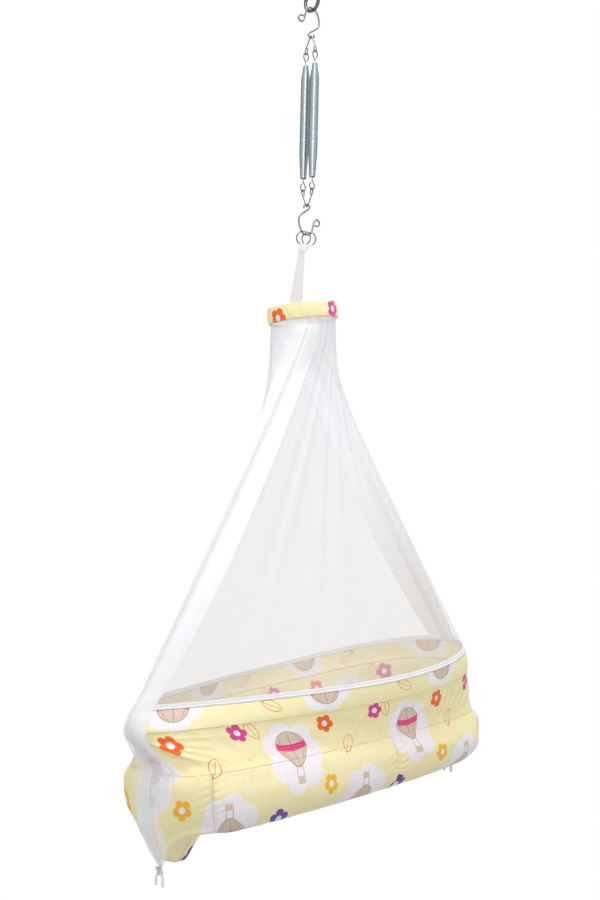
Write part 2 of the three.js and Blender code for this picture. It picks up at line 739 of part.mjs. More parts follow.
// The strap's head: a hem behind the ring's wire, a loop over it inside the ring, and the start of the tail.
function strapLoopRows(end) {
  const radius = (ringDiameter - ringWire) / 2;
  const round = ringWire / 2 + strapLoopClearance + strapThickness / 2;
  const turns = [0, 0.25, 0.5, 0.75, 1];
  const loopPoint = (column, turn) => {
    const swing = (column * strapLoopHalfWidth) / radius;
    const outOfRing = ringAcross.clone().multiplyScalar(Math.sin(swing)).setZ(-Math.cos(swing));
    return end.ringPlace.clone().add(new THREE.Vector3(0, 0, -radius))
      .addScaledVector(outOfRing, radius)
      .addScaledVector(ringNormal, -end.outward * round * Math.cos(Math.PI * turn))
      .addScaledVector(outOfRing, -round * Math.sin(Math.PI * turn));
  };
  const hem = strapColumns.map((column) => loopPoint(column, 0).add(new THREE.Vector3(0, 0, -strapLoopHem)));
  return [hem, ...turns.map((turn) => strapColumns.map((column) => loopPoint(column, turn)))];
}

function strapBandRows(end) {
  const facetRoom = 1 - Math.cos(Math.PI / bandSegments);
  const radius = bandInner * (1 - facetRoom) - seatGap - strapThickness / 2;
  const halfWidth = strapHalfWidthAt(0);
  return [bandHeight, bandHeight / 2, 0].map((z) => strapColumns.map((column) => onHoop(
    radius,
    end.angle + hoopTwist + (end.forward * column * halfWidth) / radius,
    z,
  )));
}

const rowBetween = (first, second, share) => first.map((point, index) => point.clone().lerp(second[index], share));

// On the end of the basket the strap lies over the piping, the hem, the wall and the pad, then hangs straight.
const hangPlace = 4;
const strapHalfCloth = strapThickness / 2;
const endPath = [
  [0, pipingOffset + pipingDiameter / 2],
  [hemMiddle, hemBow],
  [hemHeight, 0],
  [wallMiddle, 0],
  [padTop, 0],
  ...padPlaceShares.slice(1, hangPlace + 1).map((share, index) => [
    padTop + padHeight * share,
    padBulge * padEndShares[index + 1],
  ]),
];
const waistWidthShare = 0.7;
const padWidthShare = 0.66;

function strapEndRows(end) {
  const over = strapClearance + strapHalfCloth;
  const onEnd = endPath.map(([depth, offset]) => strapRow(
    end,
    (angle) => basketPoint(angle, depth, offset + over),
    strapHalfWidth * (depth < padTop ? waistWidthShare : padWidthShare),
  ));
  const last = onEnd[onEnd.length - 1];
  const hang = hangLength(end);
  const hangShares = [[0.35, 1], [0.7, 0.8], [1, strapEndHalfWidth / (padWidthShare * strapHalfWidth)]];
  const hanging = hangShares.map(([share, width]) => last.map((point) => new THREE.Vector3(
    point.x - end.outward * strapHangSlopeShare * hang * share,
    point.y * width,
    point.z - hang * share,
  )));
  return [...onEnd, ...hanging].map((row) => row.map(inBasket));
}

function hangLength(end) {
  const fall = end.outward < 0 ? floorFall : 0;
  return (padHeight + end.lobe + fall) * (1 - padPlaceShares[hangPlace]);
}

function strapGrid(end) {
  const loop = strapLoopRows(end);
  const band = strapBandRows(end);
  const tail = [0.3, 0.65].map((share) => rowBetween(loop[loop.length - 1], band[0], share));
  const tent = tentShares.map((share) => strapRow(
    end,
    (angle) => tentPoint(angle, share, 0),
    strapHalfWidthAt(share),
  ));
  return { head: [...loop, ...tail, ...band], body: [...tent, ...strapEndRows(end)] };
}

// Each net panel fills the tent from one strap to the other, tucked into the band and seated on the piping.
function netGrid(side) {
  const columns = 18;
  const rows = [0, ...tentShares, 1].map((share) => {
    const curve = (angle) => tentPoint(angle, share, 0);
    const from = strapHalfWidthAt(share) + netSeam;
    const start = walkAlong(curve, nearAngle, side * from).angle;
    const finish = walkAlong(curve, side > 0 ? 2 * Math.PI : 0, -side * from).angle;
    return Array.from({ length: columns + 1 }, (_, column) => {
      const angle = THREE.MathUtils.lerp(start, finish, column / columns);
      const fold = netFold * Math.cos(Math.PI * column) * Math.sin((Math.PI * column) / columns)
        * Math.sin(Math.PI * share);
      return tentPoint(angle, share, fold);
    });
  });
  const tuck = inHoop(new THREE.Vector3(0, 0, netTuck - seatGap)).sub(inHoop(new THREE.Vector3()));
  return [rows[0].map((point) => point.clone().add(tuck)), ...rows];
}

addPiece(cradle, 'front_net', sheet(netGrid(1), netThickness), 'net');
addPiece(cradle, 'back_net', sheet(netGrid(-1), netThickness), 'net');

// Zip chain down the middle of each strap, on its outer side
function zipGrid(end, body) {
  const middle = (strapColumns.length - 1) / 2;
  const rise = strapHalfCloth + seatGap + zipThickness / 2;
  return body.map((row, index) => {
    const before = body[Math.max(index - 1, 0)][middle];
    const after = body[Math.min(index + 1, body.length - 1)][middle];
    const across = row[middle + 1].clone().sub(row[middle - 1]).normalize();
    const out = across.clone().cross(after.clone().sub(before)).normalize().multiplyScalar(end.outward);
    return [-1, 1].map((column) => row[middle].clone()
      .addScaledVector(out, rise)
      .addScaledVector(across, (column * zipWidth) / 2));
  });
}

// Solids for the cuts that the sliders need
const manifold = await Module();
manifold.setup();

function toSolid(geometry) {
  const bare = geometry.clone();
  bare.deleteAttribute('normal');
  bare.deleteAttribute('uv');
  const merged = mergeVertices(bare);
  return new manifold.Manifold(new manifold.Mesh({
    numProp: 3,
    vertProperties: merged.attributes.position.array,
    triVerts: new Uint32Array(merged.index.array),
  }));
}

function toGeometry(solid) {
  const mesh = solid.getMesh();
  const geometry = new THREE.BufferGeometry();
  geometry.setAttribute('position', new THREE.BufferAttribute(new Float32Array(mesh.vertProperties), 3));
  geometry.setIndex(new THREE.BufferAttribute(new Uint32Array(mesh.triVerts), 1));
  geometry.computeVertexNormals();
  return geometry;
}

// The slider is a plate with a thin tongue below, where each pull loops over a bar through a slot.
// Its own frame has X out of the zip, Y across it and Z up it, and its origin at the middle of the bars.
const barHeight = sliderTongue;
const pullInner = Math.hypot(sliderTongue, barHeight) / 2 + pullClearance;
const pullOuter = pullInner + pullThickness;
const slotTop = pullOuter + seatGap;
const barCentre = sliderThickness - sliderTongue / 2;

function sliderGeometry() {
  const bottom = -barHeight / 2;
  const top = bottom + sliderHeight;
  const half = sliderWidth / 2;
  const plate = new THREE.Shape();
  plate.moveTo(0, bottom);
  plate.lineTo(half - sliderCorner, bottom);
  plate.quadraticCurveTo(half, bottom, half, bottom + sliderCorner);
  plate.lineTo(half, top - sliderCorner);
  plate.quadraticCurveTo(half, top, half - sliderCorner, top);
  plate.lineTo(-half + sliderCorner, top);
  plate.quadraticCurveTo(-half, top, -half, top - sliderCorner);
  plate.lineTo(-half, bottom + sliderCorner);
  plate.quadraticCurveTo(-half, bottom, -half + sliderCorner, bottom);
  const upright = new THREE.Matrix4().makeBasis(
    new THREE.Vector3(0, 1, 0),
    new THREE.Vector3(0, 0, 1),
    new THREE.Vector3(1, 0, 0),
  );
  const geometry = new THREE.ExtrudeGeometry(plate, { depth: sliderThickness, bevelEnabled: false, curveSegments: 2 });
  geometry.applyMatrix4(upright);
  const overrun = sliderThickness;
  const cut = (width, height, thickness, x, y, z) => {
    const box = new THREE.BoxGeometry(thickness, width, height);
    return toSolid(box.translate(x, y, z));
  };
  const backHeight = slotTop - bottom + overrun;
  const backMiddle = slotTop - backHeight / 2;
  const back = cut(sliderWidth + overrun, backHeight, sliderThickness, sliderThickness / 2 - sliderTongue, 0, backMiddle);
  const slotHeight = slotTop - barHeight / 2;
  const slotWidth = pullWidth + 2 * pullClearance;
  const slots = [-1, 1].map((side) => cut(
    slotWidth,
    slotHeight,
    2 * sliderThickness + overrun,
    0,
    (side * pullSpacing) / 2,
    slotTop - slotHeight / 2,
  ));
  return toGeometry(toSolid(geometry).subtract(back).subtract(slots[0]).subtract(slots[1]));
}

// A pull is a loop of tape round its bar, hanging straight down.
function pullGeometry() {
  const straight = pullLength - 2 * pullOuter;
  const arc = 6;
  const corners = [[pullInner, -1], [pullOuter, -1], [pullOuter, 1], [pullInner, 1]];
  const rings = Array.from({ length: 2 * (arc + 1) }, (_, index) => {
    const isLower = index > arc;
    const turn = isLower ? index - 1 : index;
    const angle = (Math.PI * turn) / arc;
    const drop = isLower ? straight : 0;
    return corners.map(([radius, side]) => new THREE.Vector3(
      radius * Math.cos(angle),
      (side * pullWidth) / 2,
      radius * Math.sin(angle) - drop,
    ));
  });
  return closedLoft(rings);
}

Object.entries(ends).forEach(([name, end]) => {
  const { head, body } = strapGrid(end);
  addPiece(cradle, `${name}_strap`, sheet([...head, ...body], strapThickness), 'voile');
  const zip = zipGrid(end, body);
  addPiece(cradle, `${name}_zip`, sheet(zip, zipThickness), 'plastic');

  const tip = zip[zip.length - 1][0].clone().lerp(zip[zip.length - 1][1], 0.5);
  const slope = Math.atan(strapHangSlopeShare);
  const sliderFrame = new THREE.Group();
  const turn = end.outward > 0 ? 0 : Math.PI;
  sliderFrame.position.copy(tip);
  sliderFrame.rotation.set(0, cradleTilt + end.outward * slope, turn, 'YXZ');
  cradle.add(sliderFrame);
  const slider = addPiece(sliderFrame, `${name}_zip_slider`, sliderGeometry(), 'link');
  slider.position.set(zipThickness / 2 + seatGap, 0, -slotTop);
  ['front', 'back'].forEach((pullName, index) => {
    const pull = addPiece(cradle, `${name}_${pullName}_pull`, pullGeometry(), 'plastic');
    const bar = new THREE.Vector3(barCentre, (index === 0 ? 1 : -1) * end.forward * (pullSpacing / 2), 0);
    sliderFrame.updateMatrixWorld();
    pull.position.copy(slider.localToWorld(bar));
  });
});

console.log(`least gap of a spring to itself: ${leastSelfGap(springRoute(), springWire).toFixed(2)} mm`);

export default cradle;
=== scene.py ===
import math
import bmesh
import bpy
import numpy as np
from mathutils import Matrix, Vector


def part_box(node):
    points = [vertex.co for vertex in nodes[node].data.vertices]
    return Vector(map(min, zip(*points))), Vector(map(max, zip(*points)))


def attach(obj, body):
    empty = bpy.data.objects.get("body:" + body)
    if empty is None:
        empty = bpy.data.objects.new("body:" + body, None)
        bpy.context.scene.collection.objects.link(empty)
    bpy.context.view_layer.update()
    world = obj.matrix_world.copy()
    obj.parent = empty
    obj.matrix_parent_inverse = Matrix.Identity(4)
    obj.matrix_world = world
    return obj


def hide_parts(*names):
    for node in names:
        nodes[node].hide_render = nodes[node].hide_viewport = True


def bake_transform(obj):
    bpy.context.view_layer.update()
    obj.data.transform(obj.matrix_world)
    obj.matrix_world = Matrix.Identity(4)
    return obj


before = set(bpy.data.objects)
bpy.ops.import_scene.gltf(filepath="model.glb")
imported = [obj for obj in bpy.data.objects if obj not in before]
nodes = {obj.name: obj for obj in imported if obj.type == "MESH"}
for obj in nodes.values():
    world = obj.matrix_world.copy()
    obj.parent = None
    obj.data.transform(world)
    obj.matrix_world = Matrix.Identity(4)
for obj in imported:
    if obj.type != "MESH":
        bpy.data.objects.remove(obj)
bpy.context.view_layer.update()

# A hanging baby cradle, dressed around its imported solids. Shapes are worked out in millimetres in the
# part's own frame: X along the basket to its far end, the front towards -Y, Z up, origin at the ceiling link.
print("frame loaded")


# Numbers and curves
fullTurn = 2 * math.pi


def stacked(*parts):  # numbers and arrays that fit each other, joined as points or places on the cloth
    return np.stack(np.broadcast_arrays(*parts), axis=-1)


def arch(share, power=1.0):  # sin(pi share) to a power: zero at both ends and one in the middle
    return np.sin(math.pi * share) ** power


def mix(low, high, share):  # straight line from low to high
    return low + (high - low) * share


def ease(value, start, full):  # zero up to start, one from full on, and 3s^2 - 2s^3 between
    share = np.clip((value - start) / (full - start), 0.0, 1.0)
    return share * share * (3.0 - 2.0 * share)


def unit(vectors):  # each vector divided by its length
    return vectors / np.maximum(np.linalg.norm(vectors, axis=-1, keepdims=True), 1e-12)


def runLength(points):  # distance from the first point, step by step along the first axis
    return np.concatenate([[0.0], np.cumsum(np.linalg.norm(np.diff(points, axis=0), axis=-1))])


def evenSteps(points, count):  # the same line at equal steps of length
    length = runLength(points)
    wanted = np.linspace(0.0, length[-1], count)
    return np.stack([np.interp(wanted, length, points[:, axis]) for axis in range(3)], axis=-1)


# Cubic between neighbours: (2t^3-3t^2+1)a + (t^3-2t^2+t)m + (3t^2-2t^3)b + (t^3-t^2)n.
def cubicBetween(a, m, b, n, t):
    return ((2 * t ** 3 - 3 * t ** 2 + 1) * a + (t ** 3 - 2 * t ** 2 + t) * m
            + (3 * t ** 2 - 2 * t ** 3) * b + (t ** 3 - t ** 2) * n)


# Centripetal Catmull-Rom curve: each knot's slope weighs its neighbours by the root of their distance.
def curveThrough(knots, count, steps=30):
    knots = np.asarray(knots, float)
    line = np.vstack([2 * knots[0] - knots[1], knots, 2 * knots[-1] - knots[-2]])
    gap = np.sqrt(np.linalg.norm(np.diff(line, axis=0), axis=1))[:, None]
    before, here, after = gap[:-2], gap[1:-1], gap[2:]
    p0, p1, p2, p3 = line[:-3], line[1:-2], line[2:-1], line[3:]
    m = ((p1 - p0) / before - (p2 - p0) / (before + here) + (p2 - p1) / here) * here
    n = ((p2 - p1) / here - (p3 - p1) / (here + after) + (p3 - p2) / after) * here
    t = np.linspace(0.0, 1.0, steps, endpoint=False)[None, :, None]
    fine = cubicBetween(p1[:, None], m[:, None], p2[:, None], n[:, None], t).reshape(-1, 3)
    return evenSteps(np.vstack([fine, knots[-1]]), count)


# Values at places between knots, by a cubic whose slopes are the knots' own differences.
def throughKnots(place, places, values):
    places, values = np.asarray(places, float), np.asarray(values, float)
    slopes = np.gradient(values, places, axis=0)
    index = np.clip(np.searchsorted(places, place, side="right") - 1, 0, len(places) - 2)
    span = places[index + 1] - places[index]
    t = np.clip((place - places[index]) / span, 0.0, 1.0)
    extra = (1,) * (values.ndim - 1)
    t, span = t.reshape(t.shape + extra), span.reshape(span.shape + extra)
    return cubicBetween(values[index], slopes[index] * span, values[index + 1], slopes[index + 1] * span, t)


# Rows of points joined by the same cubic, at short steps of their mean distance first and equal steps then.
def rowsThrough(rows, step, fineStep, fineEnd):
    apart = np.linalg.norm(np.diff(rows, axis=0), axis=-1).mean(axis=1)
    places = np.concatenate([[0.0], np.cumsum(apart)])
    wanted = np.concatenate([np.arange(0.0, fineEnd, fineStep),
                             np.linspace(fineEnd, places[-1], int(places[-1] / step) + 2)])
    return throughKnots(wanted, places, rows), wanted, places


# Sum of sine waves in seeded directions, about -1 to 1, longer along v by the stretch.
def ripple(u, v, waveLength, seed, stretch=1.0, waves=9):
    source = np.random.default_rng(seed)
    total = 0.0
    for turn, phase, size in zip(source.uniform(0, math.pi, waves), source.uniform(0, fullTurn, waves),
                                 waveLength * source.uniform(0.7, 1.5, waves)):
        total = total + np.sin(fullTurn * (u * math.cos(turn) + v * math.sin(turn) / stretch) / size + phase)
    return total / math.sqrt(waves)


# A soft ridge along each line (u0, v0, u1, v1, height, width): a bell across it that fades to both ends.
def creases(u, v, lines):
    total = np.zeros(np.broadcast(u, v).shape)
    for u0, v0, u1, v1, height, width in lines:
        length = math.hypot(u1 - u0, v1 - v0)
        du, dv = (u1 - u0) / length, (v1 - v0) / length
        along = ((u - u0) * du + (v - v0) * dv) / length
        across = (u - u0) * dv - (v - v0) * du
        fade = np.clip(np.sin(math.pi * np.clip(along, 0.0, 1.0)), 0.0, 1.0) ** 0.7
        total = total + height * fade * np.exp(-(across / width) ** 2)
    return total


# Meshes

# Vertex (i, j) is points[i, j]; four neighbours make a face, and the faces are turned away from inside.
def gridMesh(name, points, cloth=None, joinRows=False, joinColumns=False, inside=None, mark=None):
    rows, columns = points.shape[:2]
    i, j = np.meshgrid(np.arange(rows if joinRows else rows - 1),
                       np.arange(columns if joinColumns else columns - 1), indexing="ij")
    nextI, nextJ = (i + 1) % rows, (j + 1) % columns
    corners = np.stack([i * columns + j, nextI * columns + j, nextI * columns + nextJ,
                        i * columns + nextJ], axis=-1).reshape(-1, 4)
    flat = points.reshape(-1, 3) * 0.001
    centre = flat.mean(axis=0) if inside is None else np.asarray(inside, float) * 0.001
    normals = np.cross(flat[corners[:, 2]] - flat[corners[:, 0]], flat[corners[:, 3]] - flat[corners[:, 1]])
    turned = (normals * (flat[corners].mean(axis=1) - centre)).sum() < 0
    if turned:
        corners = corners[:, ::-1]
    mesh = bpy.data.meshes.new(name)
    mesh.from_pydata(flat.tolist(), [], corners.tolist())
    if cloth is not None:
        places = np.stack([cloth[i, j], cloth[i + 1, j], cloth[i + 1, j + 1], cloth[i, j + 1]], axis=2)
        places = places.reshape(-1, 4, 2)[:, ::-1] if turned else places.reshape(-1, 4, 2)
        mesh.uv_layers.new(name="cloth").data.foreach_set("uv", (places * 0.001).astype(np.float32).ravel())
    if mark is not None:
        mesh.attributes.new("mark", "FLOAT", "POINT").data.foreach_set(
            "value", mark.astype(np.float32).ravel())
    mesh.polygons.foreach_set("use_smooth", np.ones(len(mesh.polygons), bool))
    return mesh


# Coincident vertices of a pole or a rounded end become one, and faces with no area go.
def closePoles(mesh):
    work = bmesh.new()
    work.from_mesh(mesh)
    bmesh.ops.remove_doubles(work, verts=work.verts, dist=1e-6)
    bmesh.ops.dissolve_degenerate(work, edges=work.edges, dist=1e-7)
    work.to_mesh(mesh)
    work.free()
    return mesh


# A closed shell whose signed volume is negative has its faces turned round.
def turnOut(mesh):
    work = bmesh.new()
    work.from_mesh(mesh)
    if work.calc_volume(signed=True) < 0:
        bmesh.ops.reverse_faces(work, faces=work.faces)
    work.to_mesh(mesh)
    work.free()


# A shell joined round its columns, and along its rows too or closed there in poles or rounded ends.
def shellMesh(name, points, cloth=None, joinRows=True, mark=None):
    mesh = gridMesh(name, points, cloth, joinRows, True, mark=mark)
    turnOut(mesh)
    return mesh if joinRows else closePoles(mesh)


# A round section at each point of a path: centre + r (flat cos a * normal + sin a * binormal), the normal
# being the sideways direction with its share along the path taken out. Open ends close in a half ball.
def wireMesh(name, path, wire, sides, sideways, closed=False, mark=None, flat=1.0):
    radius = np.broadcast_to(np.asarray(wire, float), (len(path),)) / 2
    end = radius[0]
    sideways = np.broadcast_to(np.asarray(sideways, float), path.shape)
    if closed:
        tangent = unit(np.roll(path, -1, axis=0) - np.roll(path, 1, axis=0))
    else:
        tangent = unit(np.gradient(path, axis=0))
        bow = np.radians([90, 60, 35, 15])
        lead, shrink = end * np.sin(bow)[:, None], end * np.cos(bow)
        path = np.vstack([path[0] - tangent[0] * lead, path, (path[-1] + tangent[-1] * lead)[::-1]])
        radius = np.concatenate([shrink, radius, shrink[::-1]])
        tangent, sideways = [np.pad(rows, ((len(bow), len(bow)), (0, 0)), mode="edge")
                             for rows in (tangent, sideways)]
        mark = None if mark is None else np.pad(mark, len(bow), mode="edge")
    normal = unit(sideways - (sideways * tangent).sum(axis=-1, keepdims=True) * tangent)
    binormal = np.cross(tangent, normal)
    angle = (fullTurn * np.arange(sides) / sides)[None, :, None]
    points = path[:, None] + radius[:, None, None] * (
        flat * np.cos(angle) * normal[:, None] + np.sin(angle) * binormal[:, None])
    around = fullTurn * end * np.arange(sides + 1) / sides
    length = runLength(path)
    if closed:
        length = np.append(length, length[-1] + np.linalg.norm(path[-1] - path[0]))
    if mark is not None:
        mark = np.repeat(mark[:, None], sides, axis=1)
    return shellMesh(name, points, stacked(length[:, None], around[None, :]), joinRows=closed, mark=mark)


def addObject(name, data):  # a new object of this data, linked into the scene
    made = bpy.data.objects.new(name, data)
    bpy.context.scene.collection.objects.link(made)
    return made


# A mesh as a piece in its material. One that blends between bodies is given no body here.
def addPiece(name, mesh, material, body, replaced=()):
    piece = addObject(name, mesh)
    mesh.materials.append(material)
    if body:
        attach(piece, body)
    if replaced:
        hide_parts(*replaced)
    return piece


# Shader building

def paint(red, green, blue):  # screen bytes to the colour that a shader wants
    share = np.array([red, green, blue]) / 255.0
    linear = np.where(share <= 0.04045, share / 12.92, ((share + 0.055) / 1.055) ** 2.4)
    return (*[float(value) for value in linear], 1.0)


def setInput(tree, socket, value):  # a link where the value is itself a socket
    if isinstance(value, bpy.types.NodeSocket):
        tree.links.new(value, socket)
    else:
        socket.default_value = value


# A node with its settings; its inputs are set or linked in order, and None leaves one as it is.
def addNode(tree, kind, *values, **settings):
    made = tree.nodes.new(kind)
    for key, value in settings.items():
        setattr(made, key, value)
    for index, value in enumerate(values):
        if value is not None:
            setInput(tree, made.inputs[index], value)
    return made


def addNoise(tree, place, **inputs):  # noise at a place, its inputs by name
    noise = addNode(tree, "ShaderNodeTexNoise", place)
    for label, value in inputs.items():
        setInput(tree, noise.inputs[label], value)
    return noise.outputs[0]


def maths(tree, operation, *values):  # the result of one Math node
    return addNode(tree, "ShaderNodeMath", *values, operation=operation).outputs[0]


# The result of one Vector Math node: a value where the operation gives one, or else a vector.
def vectors(tree, operation, *values):
    made = addNode(tree, "ShaderNodeVectorMath", *values, operation=operation)
    return made.outputs["Value"] if operation in ("LENGTH", "DISTANCE", "DOT_PRODUCT") else made.outputs[0]


def split(tree, place):  # the first two coordinates of a place
    made = addNode(tree, "ShaderNodeSeparateXYZ", place).outputs
    return made[0], made[1]


def layOver(tree, mask, under, over):  # the colour over, where the mask is one
    made = addNode(tree, "ShaderNodeMix", mask, data_type="RGBA")
    setInput(tree, made.inputs[6], under)
    setInput(tree, made.inputs[7], over)
    return made.outputs[2]


# A smooth step: between the first two ends the result goes from the third to the fourth.
def smoothRange(tree, value, *ends):
    return addNode(tree, "ShaderNodeMapRange", value, *ends, interpolation_type="SMOOTHSTEP",
                   clamp=True).outputs[0]


def within(tree, value, edge, soft):  # one where the value is below the edge, with a soft step
    if isinstance(edge, bpy.types.NodeSocket):
        return smoothRange(tree, value, maths(tree, "SUBTRACT", edge, soft), maths(tree, "ADD", edge, soft),
                           1.0, 0.0)
    return smoothRange(tree, value, edge - soft, edge + soft, 1.0, 0.0)


def nearZero(tree, value, edge, soft):  # one where the value is less than the edge away from zero
    return within(tree, maths(tree, "ABSOLUTE", value), edge, soft)


# Cloth and Place are vectors and Colour is a colour; every other socket of a group is a value.
socketKinds = {"Cloth": "NodeSocketVector", "Place": "NodeSocketVector", "Colour": "NodeSocketColor"}


# An empty node group, the sockets that it is given and the sockets of its result.
def newGroup(name, inputs, outputs):
    tree = bpy.data.node_groups.new(name, "ShaderNodeTree")
    for way, labels in (("INPUT", inputs), ("OUTPUT", outputs)):
        for label in labels:
            tree.interface.new_socket(label, in_out=way, socket_type=socketKinds.get(label, "NodeSocketFloat"))
    return tree, tree.nodes.new("NodeGroupInput").outputs, tree.nodes.new("NodeGroupOutput").inputs


def useGroup(tree, group, **values):  # the group's outputs, its inputs by name
    made = tree.nodes.new("ShaderNodeGroup")
    made.node_tree = group
    for label, value in values.items():
        setInput(tree, made.inputs[label], value)
    return made.outputs


def newMaterial(name, roughness, metallic=0.0, **sockets):  # sockets by name, with _ for a space
    material = bpy.data.materials.new(name)
    material.use_nodes = True
    shader = material.node_tree.nodes["Principled BSDF"]
    shader.inputs["Roughness"].default_value = roughness
    shader.inputs["Metallic"].default_value = metallic
    for label, value in sockets.items():
        shader.inputs[label.replace("_", " ")].default_value = value
    return material, material.node_tree, shader


def clothPlace(tree):  # the place on the flat cloth, in metres
    return addNode(tree, "ShaderNodeUVMap", uv_map="cloth").outputs[0]


def objectPlace(tree):  # the place in the part's own frame, in metres
    return addNode(tree, "ShaderNodeTexCoord").outputs["Object"]


def addBump(tree, shader, height, normal=None):  # the height is in metres
    bump = addNode(tree, "ShaderNodeBump")
    bump.inputs["Distance"].default_value = 1.0
    tree.links.new(height, bump.inputs["Height"])
    if normal is not None:
        tree.links.new(normal, bump.inputs["Normal"])
    tree.links.new(bump.outputs[0], shader.inputs["Normal"])


# Shared effects

# Plain weave: two crossed sine waves at the thread pitch, in millimetres of cloth, and long slubs.
def makeWeave():
    tree, given, result = newGroup("plainWeave", ("Cloth", "Pitch"), ("Height", "Slub"))
    turns = maths(tree, "DIVIDE", fullTurn, given["Pitch"])
    ways = split(tree, vectors(tree, "MULTIPLY", given["Cloth"], (1000,) * 3))
    warp, weft = [maths(tree, "SINE", maths(tree, "MULTIPLY", way, turns)) for way in ways]
    tree.links.new(maths(tree, "MULTIPLY", warp, weft), result["Height"])
    stretched = vectors(tree, "MULTIPLY", given["Cloth"], (60.0, 900.0, 1.0))
    tree.links.new(addNoise(tree, stretched, Scale=1.0, Detail=2.0), result["Slub"])
    return tree


# Small crumples: a distorted noise folded at its middle, so that it has crisp lines.
def makeCrumple():
    tree, given, result = newGroup("crumple", ("Place", "Scale"), ("Height",))
    noise = addNoise(tree, given["Place"], Scale=given["Scale"], Detail=3.0, Roughness=0.45, Distortion=0.6)
    folded = maths(tree, "ABSOLUTE", maths(tree, "SUBTRACT", noise, 0.5))
    tree.links.new(maths(tree, "SUBTRACT", 0.5, folded), result["Height"])
    return tree


# A running stitch on a line: dashes along it, thread pulled into a dent of the cloth.
def makeStitch():
    tree, given, result = newGroup("runningStitch", ("Across", "Along", "Length"), ("Thread", "Dent"))
    line = nearZero(tree, given["Across"], 0.35, 0.15)
    place = maths(tree, "FRACT", maths(tree, "DIVIDE", given["Along"], given["Length"]))
    dash = nearZero(tree, maths(tree, "SUBTRACT", place, 0.5), 0.36, 0.05)
    tree.links.new(maths(tree, "MULTIPLY", line, dash), result["Thread"])
    tree.links.new(nearZero(tree, given["Across"], 1.0, 0.9), result["Dent"])
    return tree


# Worn metal: fine drawn scratches and darker patches.
def makeWear():
    tree, given, result = newGroup("metalWear", ("Place", "Amount"), ("Dirt", "Rough", "Height"))
    patch = addNoise(tree, given["Place"], Scale=90.0, Detail=4.0)
    dirt = maths(tree, "MULTIPLY", within(tree, patch, 0.46, 0.14), given["Amount"])
    tree.links.new(dirt, result["Dirt"])
    tree.links.new(maths(tree, "MULTIPLY_ADD", patch, 0.22, 0.2), result["Rough"])
    tree.links.new(addNoise(tree, given["Place"], Scale=900.0, Detail=2.0), result["Height"])
    return tree


weave, crumple, stitch, wear = makeWeave(), makeCrumple(), makeStitch(), makeWear()

# The print: generic nursery motifs on pale yellow cotton, one repeat of the fabric.
fabricPrint = {
    "repeat": (300.0, 230.0),
    "balloons": [((75, 150), 0.0, 1.0), ((225, 52), math.pi, 0.95)],  # place, turn, size
    "blossoms": [((163, 196), 0.2, 19.0, (238, 104, 32)), ((26, 52), 0.9, 20.0, (104, 76, 160)),
                 ((140, 92), 0.5, 16.5, (240, 184, 50)), ((284, 204), 0.0, 18.0, (214, 70, 140))],
    "leaves": [((112, 22), 0.5), ((205, 148), -0.9), ((12, 205), 1.3)],
    "ground": (242, 231, 182),
    "cloud": (240, 234, 238),
    "beige": (206, 184, 166),
    "paleBeige": (222, 203, 186),
    "brown": (150, 122, 104),
    "sash": (222, 52, 128),
    "leafLine": (228, 106, 48),
    # seam: painted shade for the creases of the pad's quilting seams
    "seam": (150, 134, 84),
    "thread": (232, 218, 168),
}


# A five-petalled blossom: radius 0.6 + 0.4 root |cos 2.5a| of its size, with a round centre.
def makeBlossom():
    tree, given, result = newGroup("blossom", ("Place", "Size"), ("Petals", "Centre"))
    x, y = split(tree, given["Place"])
    angle = maths(tree, "ARCTAN2", y, x)
    wave = maths(tree, "ABSOLUTE", maths(tree, "COSINE", maths(tree, "MULTIPLY", angle, 2.5)))
    share = maths(tree, "MULTIPLY_ADD", maths(tree, "POWER", wave, 0.5), 0.4, 0.6)
    away = vectors(tree, "LENGTH", given["Place"])
    tree.links.new(within(tree, away, maths(tree, "MULTIPLY", share, given["Size"]), 0.5), result["Petals"])
    tree.links.new(within(tree, away, maths(tree, "MULTIPLY", given["Size"], 0.32), 0.5), result["Centre"])
    return tree


